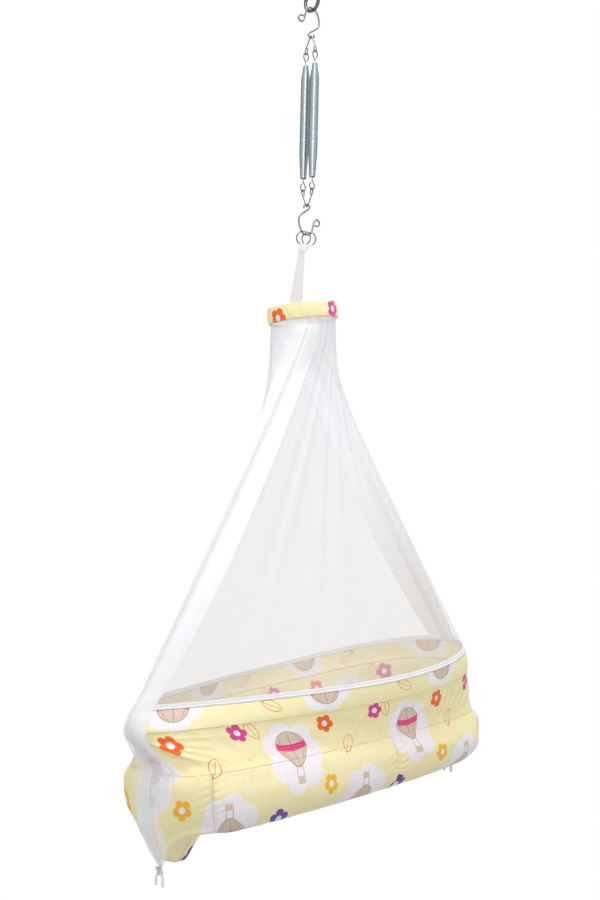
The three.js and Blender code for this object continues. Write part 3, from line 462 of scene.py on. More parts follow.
# A balloon with a basket on a lobed cloud: an egg with meridian lines and a dotted sash.
def makeBalloon():
    tree, given, result = newGroup("balloon", ("Place", "Size"), ("Cloud", "Body", "Lines", "Sash"))
    place = vectors(tree, "DIVIDE", given["Place"],
                    addNode(tree, "ShaderNodeCombineXYZ", given["Size"], given["Size"], 1.0).outputs[0])
    x, y = split(tree, place)
    angle = maths(tree, "ARCTAN2", y, x)
    lobes = maths(tree, "ABSOLUTE", maths(tree, "COSINE", maths(tree, "MULTIPLY", angle, 3.5)))
    reach = maths(tree, "MULTIPLY_ADD", maths(tree, "POWER", lobes, 0.6), 13.0, 50.0)
    tree.links.new(within(tree, vectors(tree, "LENGTH", place), reach, 1.2), result["Cloud"])
    narrow = maths(tree, "MAXIMUM", maths(tree, "MULTIPLY_ADD", y, 0.011, 0.89), 0.45)
    wide = maths(tree, "DIVIDE", x, maths(tree, "MINIMUM", narrow, 1.0))
    high = maths(tree, "SUBTRACT", y, 10.0)
    away = maths(tree, "SQRT", maths(tree, "ADD", maths(tree, "POWER", wide, 2.0),
                                     maths(tree, "POWER", high, 2.0)))
    egg = within(tree, away, 33.0, 0.5)
    basket = maths(tree, "MULTIPLY", nearZero(tree, x, 8.5, 0.4),
                   nearZero(tree, maths(tree, "ADD", y, 41.0), 5.5, 0.4))
    fromRope = maths(tree, "SUBTRACT", maths(tree, "ABSOLUTE", x), 7.0)
    ropes = maths(tree, "MULTIPLY", nearZero(tree, fromRope, 0.5, 0.3),
                  nearZero(tree, maths(tree, "ADD", y, 29.0), 8.0, 0.4))
    tree.links.new(maths(tree, "MAXIMUM", egg, basket), result["Body"])
    level = maths(tree, "SQRT", maths(tree, "MAXIMUM", maths(
        tree, "SUBTRACT", 1.0, maths(tree, "POWER", maths(tree, "DIVIDE", high, 33.0), 2.0)), 0.02))
    longitude = maths(tree, "ARCSINE", maths(tree, "MINIMUM", maths(tree, "MAXIMUM", maths(
        tree, "DIVIDE", wide, maths(tree, "MULTIPLY", level, 33.0)), -1.0), 1.0))
    meridian = nearZero(tree, maths(tree, "SINE", maths(tree, "MULTIPLY", longitude, 4.0)), 0.09, 0.05)
    rim = nearZero(tree, maths(tree, "SUBTRACT", away, 32.6), 0.55, 0.3)
    lines = maths(tree, "MAXIMUM", rim, maths(tree, "MULTIPLY", meridian, egg))
    tree.links.new(maths(tree, "MAXIMUM", lines, ropes), result["Lines"])
    bowed = maths(tree, "SUBTRACT", high, maths(tree, "MULTIPLY", maths(tree, "POWER", x, 2.0), 0.006))
    sash = maths(tree, "MULTIPLY", egg, nearZero(tree, bowed, 6.5, 0.4))
    spot = vectors(tree, "WRAP", place, (3.0, 3.0, 1.0), (-3.0, -3.0, -1.0))
    dots = within(tree, vectors(tree, "LENGTH", vectors(tree, "MULTIPLY", spot, (1.0, 1.0, 0.0))), 1.0, 0.3)
    tree.links.new(maths(tree, "SUBTRACT", sash, maths(tree, "MULTIPLY", dots, 0.75)), result["Sash"])
    return tree


# A leaf drawn with one thin line: the edge of the lens where two circles meet, and its midrib.
def makeLeaf():
    tree, given, result = newGroup("leafOutline", ("Place",), ("Line",))
    upper, lower = [vectors(tree, "LENGTH", vectors(tree, "ADD", given["Place"], (0.0, aside, 0.0)))
                    for aside in (14.0, -14.0)]
    outline = nearZero(tree, maths(tree, "SUBTRACT", maths(tree, "MAXIMUM", upper, lower), 24.0), 0.65, 0.3)
    x, y = split(tree, given["Place"])
    rib = maths(tree, "MULTIPLY", nearZero(tree, y, 0.5, 0.3),
                nearZero(tree, maths(tree, "ADD", x, 4.0), 19.0, 0.6))
    tree.links.new(maths(tree, "MAXIMUM", outline, rib), result["Line"])
    return tree


# The whole repeat: each motif's own place is the cloth's place less its centre, wrapped into one repeat.
def makePrint():
    blossom, balloon, leaf = makeBlossom(), makeBalloon(), makeLeaf()
    tree, given, result = newGroup("nurseryPrint", ("Cloth",), ("Colour",))
    cloth = vectors(tree, "MULTIPLY", given["Cloth"], (1000.0, 1000.0, 0.0))
    wide, high = fabricPrint["repeat"]

    def around(place, turn):  # the place from a motif's centre, turned
        moved = vectors(tree, "SUBTRACT", cloth, (float(place[0]), float(place[1]), 0.0))
        wrapped = vectors(tree, "WRAP", moved, (wide / 2, high / 2, 1.0), (-wide / 2, -high / 2, -1.0))
        return addNode(tree, "ShaderNodeVectorRotate", wrapped, (0.0, 0.0, 0.0), None, float(turn),
                       rotation_type="Z_AXIS").outputs[0]

    colour = paint(*fabricPrint["ground"])
    wash = addNoise(tree, cloth, Scale=0.03)
    for place, turn, size in fabricPrint["balloons"]:
        parts = useGroup(tree, balloon, Place=around(place, turn), Size=size)
        body = layOver(tree, wash, paint(*fabricPrint["beige"]), paint(*fabricPrint["paleBeige"]))
        colour = layOver(tree, parts["Cloud"], colour, paint(*fabricPrint["cloud"]))
        colour = layOver(tree, parts["Body"], colour, body)
        colour = layOver(tree, parts["Lines"], colour, paint(*fabricPrint["brown"]))
        colour = layOver(tree, parts["Sash"], colour, paint(*fabricPrint["sash"]))
    for place, turn, size, tint in fabricPrint["blossoms"]:
        parts = useGroup(tree, blossom, Place=around(place, turn), Size=size)
        colour = layOver(tree, parts["Petals"], colour, paint(*tint))
        colour = layOver(tree, parts["Centre"], colour, paint(*fabricPrint["cloud"]))
    for place, turn in fabricPrint["leaves"]:
        line = useGroup(tree, leaf, Place=around(place, turn))["Line"]
        colour = layOver(tree, line, colour, paint(*fabricPrint["leafLine"]))
    tree.links.new(colour, result["Colour"])
    return tree


nurseryPrint = makePrint()


# Printed cotton for one piece: the print moved on its cloth, weave, crumples and its stitched lines, darkened
# by the piece's painted shade factor, with painted shade in the creases of its seams where it has them, and
# glowing faintly in its own colour as painted light that stands for light through the cloth.
def makeCotton(name, form, stitchLines=(), seams=False):
    material, tree, shader = newMaterial(name, 0.82, Sheen_Weight=0.1, Emission_Strength=0.12)
    cloth = clothPlace(tree)
    moved = vectors(tree, "ADD", cloth, (form["print"][0] * 0.001, form["print"][1] * 0.001, 0.0))
    colour = useGroup(tree, nurseryPrint, Cloth=moved)["Colour"]
    threads = useGroup(tree, weave, Cloth=cloth, Pitch=0.55)
    # Painted shade: each piece's print is darkened by its own factor for how the light falls on it, with a
    # random slub tone on top.
    tone = maths(tree, "MULTIPLY_ADD", threads["Slub"], 0.10, form["paintedShade"] - 0.05)
    colour = vectors(tree, "SCALE", colour, None, None, tone)
    if seams:
        seam = addNode(tree, "ShaderNodeAttribute", attribute_name="mark").outputs["Fac"]
        # Painted shade in the seam's crease: within about a millimetre of the seam the print goes towards the
        # seam colour.
        dent = useGroup(tree, stitch, Across=seam)["Dent"]
        colour = layOver(tree, maths(tree, "MULTIPLY", dent, 0.4), colour, paint(*fabricPrint["seam"]))
    height = maths(tree, "MULTIPLY", threads["Height"], 0.00003)
    folds = useGroup(tree, crumple, Place=objectPlace(tree), Scale=14.0)
    height = maths(tree, "MULTIPLY_ADD", folds["Height"], form["crumple"] * 4, height)
    along, down = split(tree, vectors(tree, "MULTIPLY", cloth, (1000,) * 3))
    for line in stitchLines:
        sewn = useGroup(tree, stitch, Across=maths(tree, "SUBTRACT", down, line), Along=along, Length=3.2)
        thread = maths(tree, "MULTIPLY", sewn["Thread"], 0.6)
        colour = layOver(tree, thread, colour, paint(*fabricPrint["thread"]))
        height = maths(tree, "MULTIPLY_ADD", sewn["Dent"], -0.0002, height)
    tree.links.new(colour, shader.inputs["Base Color"])
    # Painted light: the cloth glows faintly in its own colour.
    tree.links.new(colour, shader.inputs["Emission Color"])
    addBump(tree, shader, height)
    return material


# Sheer white cloth: the alpha is the share of thread, a little more where the slubs are. Cover, colour and
# glow each go from a first value to a second between two places along the cloth, in metres from its foot
# or waist. The glow is painted light that stands for light from behind, and a colour darker at one end is
# painted shade.
def makeSheer(name, form):
    material, tree, shader = newMaterial(name, 0.9, Emission_Strength=0.5)
    cloth = clothPlace(tree)
    threads = useGroup(tree, weave, Cloth=cloth, Pitch=form["pitch"])
    down = split(tree, cloth)[1]
    for label, key in (("Base Color", "colour"), ("Emission Color", "glow")):
        first, second = form[key]
        share = smoothRange(tree, down, *form[key + "Places"], 0.0, 1.0)
        tree.links.new(layOver(tree, share, paint(*first), paint(*second)), shader.inputs[label])
    alpha = smoothRange(tree, down, *form["coverPlaces"], *form["cover"])
    for part in ("Height", "Slub"):
        alpha = maths(tree, "MULTIPLY_ADD", threads[part], form["change"], alpha)
    tree.links.new(alpha, shader.inputs["Alpha"])
    folds = useGroup(tree, crumple, Place=objectPlace(tree), Scale=9.0)
    addBump(tree, shader, maths(tree, "MULTIPLY", folds["Height"], form["crumple"] * 4))
    return material


# Plain white cloth of tapes, piping and the mattress, with a weave that shows.
def makePlainCloth(name, colour, pitch, depth):
    material, tree, shader = newMaterial(name, 0.85, Sheen_Weight=0.12)
    threads = useGroup(tree, weave, Cloth=clothPlace(tree), Pitch=pitch)
    tone = maths(tree, "MULTIPLY_ADD", threads["Slub"], 0.08, 0.96)
    tree.links.new(vectors(tree, "SCALE", paint(*colour)[:3], None, None, tone), shader.inputs["Base Color"])
    addBump(tree, shader, maths(tree, "MULTIPLY", threads["Height"], depth))
    return material


# Metal with painted shade: its colour goes from its own to a dark one as its surface turns away from the view,
# which stands in for the darker surroundings that it would reflect; its dirt patches take that dark colour too.
# A close coil, which has a colour of its own for its eyes, gets this painted highlight and shade as the tube
# that it makes: its wire's normals are drawn in to the level plane.
def makeMetal(name, colour, dirtAndShadeColour, amount, paintedShadeShare=0.75, eyes=None):
    material, tree, shader = newMaterial(name, 0.35, 1.0)
    worn = useGroup(tree, wear, Place=objectPlace(tree), Amount=amount)
    weight = addNode(tree, "ShaderNodeLayerWeight")
    level = None
    if eyes:
        normal = addNode(tree, "ShaderNodeTexCoord").outputs["Normal"]
        level = vectors(tree, "NORMALIZE", vectors(tree, "MULTIPLY", normal, (1.0, 1.0, 0.22)))
        tree.links.new(level, weight.inputs["Normal"])
    # Painted shade: the share towards the dark colour grows with the Facing share, to a power.
    facing = maths(tree, "POWER", weight.outputs["Facing"], 0.5 if eyes else 1.3)
    away = maths(tree, "MULTIPLY", facing, paintedShadeShare)
    shaded = layOver(tree, away, paint(*colour), paint(*dirtAndShadeColour))
    if eyes:
        mark = addNode(tree, "ShaderNodeAttribute", attribute_name="mark").outputs["Fac"]
        shaded = layOver(tree, within(tree, mark, 0.5, 0.3), shaded, paint(*eyes))
    tree.links.new(layOver(tree, worn["Dirt"], shaded, paint(*dirtAndShadeColour)), shader.inputs["Base Color"])
    tree.links.new(worn["Rough"], shader.inputs["Roughness"])
    addBump(tree, shader, maths(tree, "MULTIPLY", worn["Height"], 0.00002), level)
    return material


# Moulded plastic or enamel: its colour, at 0.88 of it where it is soiled, and a fine grain.
def makePlastic(name, colour, roughness):
    material, tree, shader = newMaterial(name, roughness, Coat_Weight=0.15)
    grain = useGroup(tree, wear, Place=objectPlace(tree), Amount=0.4)
    soiled = tuple(0.88 * value for value in paint(*colour)[:3]) + (1.0,)
    tree.links.new(layOver(tree, grain["Dirt"], paint(*colour), soiled), shader.inputs["Base Color"])
    addBump(tree, shader, maths(tree, "MULTIPLY", grain["Height"], 0.00003))
    return material


# Hardboard: short fibres in two browns.
def makeBoard(name):
    material, tree, shader = newMaterial(name, 0.75)
    fibre = addNoise(tree, vectors(tree, "MULTIPLY", objectPlace(tree), (120.0, 500.0, 120.0)), Detail=4.0)
    tree.links.new(layOver(tree, fibre, paint(120, 88, 58), paint(176, 138, 98)), shader.inputs["Base Color"])
    addBump(tree, shader, maths(tree, "MULTIPLY", fibre, 0.0002))
    return material


# Each metal's first colour is what faces the view, its second the painted shade at its turned-away edges and
# its dirt; the spring's pale first colour is a painted highlight streak down the coil.
linkMetal = makeMetal("wornLinkSteel", (118, 118, 116), (36, 36, 35), 0.5)
wireMetal = makeMetal("bentSteelWire", (136, 138, 141), (52, 53, 56), 0.4)
springMetal = makeMetal("drawnSpringSteel", (206, 218, 224), (48, 60, 68), 0.05, 1.0, eyes=(104, 108, 112))
sliderMetal = makeMetal("sliderMetal", (222, 222, 224), (150, 150, 152), 0.3, 0.4)
pullEnamel = makePlastic("pullEnamel", (240, 240, 240), 0.35)
hoopPlastic = makePlastic("hoopPlastic", (234, 234, 230), 0.5)
zipPlastic = makePlastic("zipCoilPlastic", (240, 240, 243), 0.4)
tapeCloth = makePlainCloth("zipTape", (245, 245, 248), 0.7, 0.00005)
pipingCloth = makePlainCloth("whitePiping", (240, 240, 243), 0.6, 0.00005)
mattressCloth = makePlainCloth("mattressCover", (238, 236, 228), 0.9, 0.00006)
# The net's faint glow is painted light.
netCloth = makeSheer("mosquitoNet", {
    "colour": ((226, 226, 228), (224, 224, 229)), "colourPlaces": (-0.6, -0.1),
    "glow": ((132, 132, 134), (128, 128, 132)), "glowPlaces": (-0.6, -0.1),
    "cover": (0.31, 0.66), "coverPlaces": (-0.1, -0.008), "change": 0.03, "pitch": 1.3, "crumple": 0.0004})
# The strap voile turns darker towards its tails above 0.66 m, painted shade, while its glow of painted light
# grows from 0.05 m to 0.6 m up the strap and stays strong on the tails.
voileCloth = makeSheer("strapVoile", {
    "colour": ((228, 227, 231), (190, 190, 192)), "colourPlaces": (0.66, 0.76),
    "glow": ((146, 146, 148), (222, 222, 224)), "glowPlaces": (0.05, 0.6),
    "cover": (0.62, 0.86), "coverPlaces": (-0.07, 0.02), "change": 0.015, "pitch": 0.9, "crumple": 0.0005})
boardFibre = makeBoard("hardboard")
print("materials ready")

# Ceiling link, hooks, bails, springs and rings
hardware = {
    "link": {"width": 42.0, "height": 44.0, "bar": 7.0},
    "hook": {"width": 56.0, "height": 59.0, "wire": 3.2, "upperSeat": -35.01, "lowerSeat": -478.08},
    "bail": {"spread": 25.0, "drop": 35.0, "turnRadius": 3.4, "tip": 8.0, "wire": 2.4,
             "upperSeat": -89.11, "lowerSeat": -423.98},
    "spring": {"wire": 1.6, "eyeWire": 2.2, "diameter": 17.8, "neck": 10.0, "tip": 12.4, "length": 224.0,
               "eyeWidth": 14.7, "eyeHeight": 23.5, "seat": -144.54, "turns": 140, "neckShare": 0.15,
               "tipShare": 0.24},
    "ring": {"wire": 2.6, "diameter": 29.0, "turn": math.radians(-43.4), "coil": 1.3,
             "near": (7.3, 0.0, -471.96), "far": (-7.3, 0.0, -472.25)},
}
hookShares = [
    (-0.4, -0.35), (-0.54, -0.36), (-0.62, -0.46), (-0.5, -0.56), (-0.36, -0.47), (-0.31, -0.31),
    (-0.25, -0.13), (-0.14, -0.02), (0, 0), (0.14, -0.02), (0.27, -0.14), (0.36, -0.34), (0.37, -0.49),
    (0.29, -0.61), (0.08, -0.75), (-0.09, -0.86), (-0.13, -0.945), (0, -1), (0.13, -0.945), (0.14, -0.87),
]
eyeShares = [(0.22, 0.27), (0.42, 0.55), (0.31, 0.88), (0, 1), (-0.31, 0.88), (-0.42, 0.55), (-0.2, 0.22)]
backWay, upWay = np.array([0.0, 1.0, 0.0]), np.array([0.0, 0.0, 1.0])
ringTurn = hardware["ring"]["turn"]
ringAcross = np.array([math.cos(ringTurn), math.sin(ringTurn), 0.0])
ringNormal = np.array([-math.sin(ringTurn), math.cos(ringTurn), 0.0])


# The link is a stadium in the YZ plane: half circles joined by short straights, its crown at the origin.
def linkPath(count):
    form = hardware["link"]
    radius, straight = (form["width"] - form["bar"]) / 2, form["height"] - form["width"]
    angle = fullTurn * np.arange(count) / count
    high = -form["height"] / 2 + np.sign(np.cos(angle)) * straight / 2 + radius * np.cos(angle)
    return np.stack([0 * angle, radius * np.sin(angle), high], axis=-1)


# A hook: a curve through its shares of width and height, turned over where the side is -1.
def hookPath(seat, side):
    form = hardware["hook"]
    knots = [(side * x * form["width"], 0.0, side * z * form["height"] + seat) for x, z in hookShares]
    return curveThrough(knots, 190)


# A bail: a tip, a turn under the spring's eye, two straight arms that meet in a bend, a turn and a tip.
def bailPath(seat, side):
    form = hardware["bail"]
    outer, inner = form["spread"] / 2 + form["turnRadius"], form["spread"] / 2 - form["turnRadius"]
    turnTop = form["turnRadius"] - form["drop"]
    diagonal = form["turnRadius"] * math.sqrt(0.5)
    half = [(inner, turnTop + form["tip"]), (inner, turnTop),
            (form["spread"] / 2 - diagonal, turnTop - diagonal), (form["spread"] / 2, -form["drop"]),
            (form["spread"] / 2 + diagonal, turnTop - diagonal), (outer, turnTop),
            (form["turnRadius"] / 2, -form["turnRadius"] / 2)]
    knots = half + [(0.0, 0.0)] + [(-y, z) for y, z in half[::-1]]
    return curveThrough([(0.0, side * y, side * z + seat) for y, z in knots], 170)


# A spring: an eye, a close coil whose radius swells from its neck and draws in at its tip, a second eye.
def springPath(side):
    form = hardware["spring"]
    steps = 16 * form["turns"]
    share = np.arange(steps + 1) / steps
    full, neck, tip = [(form[key] - form["wire"]) / 2 for key in ("diameter", "neck", "tip")]
    radius = np.minimum(mix(neck, full, ease(share, 0, form["neckShare"])),
                        mix(tip, full, ease(1 - share, 0, form["tipShare"])))
    radius = radius * np.minimum(1.0, np.minimum(share, 1 - share) * form["turns"])
    angle = fullTurn * form["turns"] * share
    coil = np.stack([radius * np.cos(angle), radius * np.sin(angle), -form["length"] * share], axis=-1)
    gap = form["length"] * 0.02
    knots = [(x * form["eyeWidth"], 0.0, gap + z * (form["eyeHeight"] - gap)) for x, z in eyeShares]
    eye = curveThrough(knots + [(0.0, 0.0, gap)], 40)
    lower = eye[::-1] * (-1, 1, -1) - (0, 0, form["length"])
    path = np.vstack([eye, coil, lower]) + (0, side * hardware["bail"]["spread"] / 2, form["seat"])
    coilShare = np.concatenate([np.linspace(0, 0.02, len(eye)), np.ones(len(coil)),
                                np.linspace(0.02, 0, len(lower))])[:, None]
    return path, mix(backWay, upWay, coilShare)


# A split ring: two turns of wire side by side, moved across by a smooth step over a short stretch.
def ringPath(place):
    form = hardware["ring"]
    radius = (form["diameter"] - form["wire"]) / 2
    turn = np.linspace(0.0, 1.96, 190)
    angle = fullTurn * turn + 2.4
    step = (ease(turn, 0.9, 1.06) - 0.5) * form["coil"] * 0.96
    return (np.asarray(place) + radius * np.sin(angle)[:, None] * ringAcross
            + radius * (np.cos(angle) - 1)[:, None] * upWay + step[:, None] * ringNormal)


link = wireMesh("ceilingLink", linkPath(96), hardware["link"]["bar"], 24, (1, 0, 0), True)
addPiece("ceilingLink", link, linkMetal, "ceiling_link", ["ceiling_link"])
form = hardware["hook"]
for key, side in (("upper", 1), ("lower", -1)):
    hook = wireMesh(key + "Hook", hookPath(form[key + "Seat"], side), form["wire"], 16, backWay)
    addPiece(key + "Hook", hook, wireMetal, key + "_hook", [key + "_s_hook"])
form = hardware["bail"]
for key, side, body in (("upper", 1, "spring_pair"), ("lower", -1, "lower_bail")):
    bail = wireMesh(key + "Bail", bailPath(form[key + "Seat"], side), form["wire"], 14, (1, 0, 0))
    addPiece(key + "Bail", bail, wireMetal, body, [key + "_bail"])
form = hardware["spring"]
for key, side in (("front", -1), ("back", 1)):
    path, sideways = springPath(side)
    thick = mix(form["eyeWire"], form["wire"], ease(sideways[:, 2], 0.0, 0.9))
    spring = wireMesh(key + "Spring", path, thick, 8, sideways, mark=sideways[:, 2])
    piece = addPiece(key + "Spring", spring, springMetal, None, [key + "_spring"])
    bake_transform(piece)
form = hardware["ring"]
for key in ("near", "far"):
    ring = wireMesh(key + "Ring", ringPath(form[key]), form["wire"], 12, ringNormal, flat=0.5)
    addPiece(key + "Ring", ring, wireMetal, key + "_ring", [key + "_ring"])
print("hardware done")

# The basket's form, as its solids have it
basketForm = {
    "place": (21.0, 0.0, -1317.36), "tilt": math.radians(-3.9),
    "rimHalfLength": 416.0, "rimHalfWidth": 141.0, "rimSag": 15.0, "rimFarRise": 13.0, "rimNearFall": 12.0,
    "rimNearDraw": 14.0, "hemNearFlare": 12.0, "hemHeight": 38.0, "padTop": 124.0, "padHeight": 98.0,
    "padHalfLength": 395.0, "padHalfWidth": 131.0, "padEndShift": 25.0, "padBulge": 22.0,
    "nearLobe": 59.0, "farLobe": 16.0, "floorFall": 16.0, "eggShare": 0.5, "squareShare": 0.4,
    "endShares": (0.78, 0.94), "lobeShares": (-0.1, 0.67),
}
padTop, padHeight = basketForm["padTop"], basketForm["padHeight"]
tiltCos, tiltSin = math.cos(basketForm["tilt"]), math.sin(basketForm["tilt"])


def intoWorld(x, y, z):  # the basket's tilt about Y, then its place
    return stacked(x * tiltCos + z * tiltSin, y, z * tiltCos - x * tiltSin) + basketForm["place"]


def lobeDrop(along, across):  # the end's middle hangs lowest, and rises softly to the pad's sides
    drop = np.where(along < 0, basketForm["nearLobe"], basketForm["farLobe"])
    return drop * ease(np.abs(along), 0.9, 0.95) * (1 - ease(np.abs(across), *basketForm["lobeShares"]))


def fallAt(x):  # the floor falls evenly to the near end
    return basketForm["floorFall"] * (0.5 - (x - basketForm["padEndShift"]) / (2 * basketForm["padHalfLength"]))


# The level outline at a depth under the rim: half length times cos a, half width times |sin a| to a power
# that falls from 1 at the rim to 0.4 at the pad, the rim wider to the far end by its egg share.
def outline(angle, depth, offset):
    form = basketForm
    share = np.clip(depth / padTop, 0.0, 1.0)
    along, side = np.cos(angle), np.sin(angle)
    across = np.sign(side) * np.abs(side) ** mix(1.0, form["squareShare"], share)
    egg = 1 + form["eggShare"] * (1 - share) * along
    draw = np.interp(share, (0, form["hemHeight"] / padTop, 1), (form["rimNearDraw"], -form["hemNearFlare"], 0))
    x = (form["padEndShift"] * share + draw * np.minimum(along, 0) ** 2
         + (mix(form["rimHalfLength"], form["padHalfLength"], share) + offset) * along)
    y = (mix(form["rimHalfWidth"], form["padHalfWidth"], share) * egg + offset) * across
    return x, y


# The outline with its height: the rim's wave fades down to the pad, whose bottom has lobes and a fall.
def basketPoints(angle, depth, offset):
    form = basketForm
    x, y = outline(angle, depth, offset)
    along = np.cos(angle)
    wave = (form["rimFarRise"] * np.maximum(along, 0) ** 2 - form["rimNearFall"] * np.minimum(along, 0) ** 2
            - form["rimSag"] * (1 - along ** 2))
    padShare = np.maximum(depth - padTop, 0) / padHeight
    z = (wave * (1 - np.minimum(depth / padTop, 1)) - depth
         - padShare * (lobeDrop(along, np.abs(np.sin(angle)) ** form["squareShare"]) + fallAt(x)))
    return intoWorld(x, y, z)


# Angles at equal steps of length round the outline, from the near end along the front, and those lengths.
def aroundOutline(count, depth, offset=0.0):
    turn = np.linspace(0.0, 1.0, 8001)
    angle = math.pi + fullTurn * (turn - np.sin(4 * math.pi * turn) / (4 * math.pi))
    x, y = outline(angle, depth, offset)
    length = runLength(np.stack([x, y], axis=-1))
    wanted = np.linspace(0.0, length[-1], count + 1)
    return np.interp(wanted, length, angle), wanted


def fadeAtJoin(around, whole, reach):  # nothing within a stretch of the cloth's own join at the near end
    return ease(np.minimum(around, whole - around), 0.0, reach)


# A closed band of cloth round the basket: outer rows down, inner rows up, each at its depth and offset.
def ringOfCloth(name, material, angle, around, outer, inner, replaced, mark=None):
    points = np.concatenate([basketPoints(angle[:-1][None, :], *rows) for rows in (outer, inner)])
    down = np.concatenate([outer[0], inner[0], outer[0][:1]])
    mesh = shellMesh(name, points, stacked(around[None, :], -down), mark=mark)
    return addPiece(name, mesh, material, "cradle", [replaced])


# Rim piping: a round cord all along the rim
piping = {"diameter": 5.0, "offset": -1.5, "sides": 14}
pipingPath = basketPoints(aroundOutline(420, 0.0)[0][:-1], 0.0, piping["offset"])
pipingMesh = wireMesh("rimPiping", pipingPath, piping["diameter"], piping["sides"], upWay, True)
addPiece("rimPiping", pipingMesh, pipingCloth, "cradle", ["rim_piping"])

# Rim hem: a smooth folded band that laps over the wall
hem = {"top": 2.8, "bottom": 41.0, "bow": 2.5, "thickness": 3.0, "lap": 3.0, "stitch": -37.0, "cutHeight": 41.0,
       "flare": 0.8, "print": (150.0, 36.0), "paintedShade": 1.0, "crumple": 0.0005}
hemCotton = makeCotton("printedHem", hem, stitchLines=(hem["stitch"],))
angle, around = aroundOutline(520, 20.0)
join = fadeAtJoin(around[:-1], around[-1], 30.0)[None, :]
depth = np.linspace(hem["top"], hem["bottom"], 22)[:, None]
share = (depth - hem["top"]) / (hem["bottom"] - hem["top"])
u = around[:-1][None, :]
wrinkle = join * (0.5 * ripple(u, depth, 70, 11, 0.5) * arch(share, 0.5)
                  + 0.3 * ripple(u, depth, 22, 12, 2.0) * share)
outerOffset = hem["bow"] * arch(share) + hem["flare"] * ease(share, 0.5, 0.95) + wrinkle
innerDepth = np.concatenate([np.linspace(hem["bottom"], hem["bottom"] - hem["lap"], 3),
                             np.linspace(hem["bottom"] - hem["lap"] - 0.1, hem["top"], 12)])[:, None]
innerShare = (innerDepth - hem["top"]) / (hem["bottom"] - hem["top"])
innerOffset = np.where(innerDepth >= hem["bottom"] - hem["lap"], 0.2,
                       hem["bow"] * arch(innerShare) - hem["thickness"]) + 0 * u
rimHem = ringOfCloth("rimHem", hemCotton, angle, around, (depth, outerOffset), (innerDepth, innerOffset),
                     "rim_hem")

# Basket wall: one slack layer between the hem and the pad, with tension folds at both ends
wall = {"top": 38.3, "bottom": 124.0, "outer": -0.7, "hollow": 3.0, "thickness": 1.3, "flare": 2.46,
        "flareFrom": 0.8, "flareFull": 1.04, "cutHeight": 88.0, "gather": 0.9,
        "print": (58.0, 262.0), "paintedShade": 0.95, "crumple": 0.0011}


# Folds that fan out from each end: from the near waist down the front and back, slanting at the far end.
def wallFolds(whole):
    lines = []
    source = np.random.default_rng(5)
    for side in (0.0, whole):
        way = 1.0 if side == 0.0 else -1.0
        for index in range(9):
            start = 40 + 10 * source.uniform(0, 1)
            lean = 0.06 + 0.085 * index + source.uniform(-0.02, 0.02)
            length = source.uniform(110, 190) * (1 - 0.05 * index)
            first = side + way * (34 + 6 * index)
            lines.append((first, start + 2.0 * index, first + way * length * math.cos(lean),
                          start + 2.0 * index + length * math.sin(lean), source.uniform(2.2, 3.8),
                          source.uniform(3.5, 6.0)))
        for index in range(17):
            first = side + way * (whole * 0.5 - 70 - 24 * index - source.uniform(0, 11))
            lines.append((first, 40 + source.uniform(0, 10), first - way * source.uniform(14, 52),
                          116 + source.uniform(-22, 6), source.uniform(2.0, 4.6) * (1 - 0.035 * index),
                          source.uniform(2.8, 5.0)))
    return lines


wallCotton = makeCotton("printedWall", wall)
angle, around = aroundOutline(1400, padTop, 10.0)
u = around[:-1][None, :]
join = fadeAtJoin(u, around[-1], 24.0)
depth = np.linspace(wall["top"], wall["bottom"], 46)[:, None]
share = (depth - wall["top"]) / (wall["bottom"] - wall["top"])
edges = arch(share, 0.6)
wrinkle = join * edges * (creases(u, depth, wallFolds(around[-1])) - 1.0 + 1.3 * ripple(u, depth, 90, 21, 0.6)
                          + 0.5 * ripple(u, depth, 30, 22, 1.6))
flareRun = wall["flareFrom"], wall["flareFull"]
flare = wall["flare"] * ease(share, *flareRun) / ease(1.0, *flareRun)
atPad = (wall["gather"] * ease(share, 0.8, 0.9) * (1 - ease(share, 0.94, 1.0)) * ripple(u, share, 15, 31)
         * join)
outerOffset = wall["outer"] - wall["hollow"] * arch(share) + flare + wrinkle + atPad
innerRows = slice(None, None, -3)
basketWall = ringOfCloth("basketWall", wallCotton, angle, around, (depth, outerOffset),
                         (depth[innerRows], (outerOffset - wall["thickness"])[innerRows]), "basket_wall")

# Padded bumper: a stuffed ring with a stitched channel at each seam, its filling fuller at the near end
pad = {
    "places": [0, 0.12, 0.3, 0.45, 0.62, 0.8, 0.92, 1], "cloth": 5.0, "fill": 22.0, "slide": 0.35,
    "side": [0.08, 0.5, 0.9, 1, 0.95, 0.5, -0.2, -1.2], "nearFill": 22.0,
    "end": [0.08, 0.4, 0.5, 0.45, 0.25, -0.25, -0.65, -2.1],
    "seamShares": (-0.862, 0.19), "seamDepth": 8.5, "seamWidth": 5.0, "pucker": 1.9, "plump": 2.6,
    "gather": 1.7,
    "print": wall["print"], "paintedShade": 0.915, "crumple": 0.0006,
}


def padProfile(angle, share):  # how far the pad stands out, between its side and end profiles
    toEnd = ease(np.abs(np.cos(angle)), *basketForm["endShares"])
    side = throughKnots(share, pad["places"], pad["side"])
    end = throughKnots(share, pad["places"], pad["end"])
    return basketForm["padBulge"] * mix(side, end, toEnd)


# The cloth and a filling that goes as sin(pi share), thicker by a cosine to the near end.
def padThickness(angle, share):
    near = ease(-np.cos(angle), *basketForm["endShares"])
    fill = pad["fill"] * (1 - pad["slide"] * np.cos(angle)) + pad["nearFill"] * near
    return pad["cloth"] + fill * arch(share)


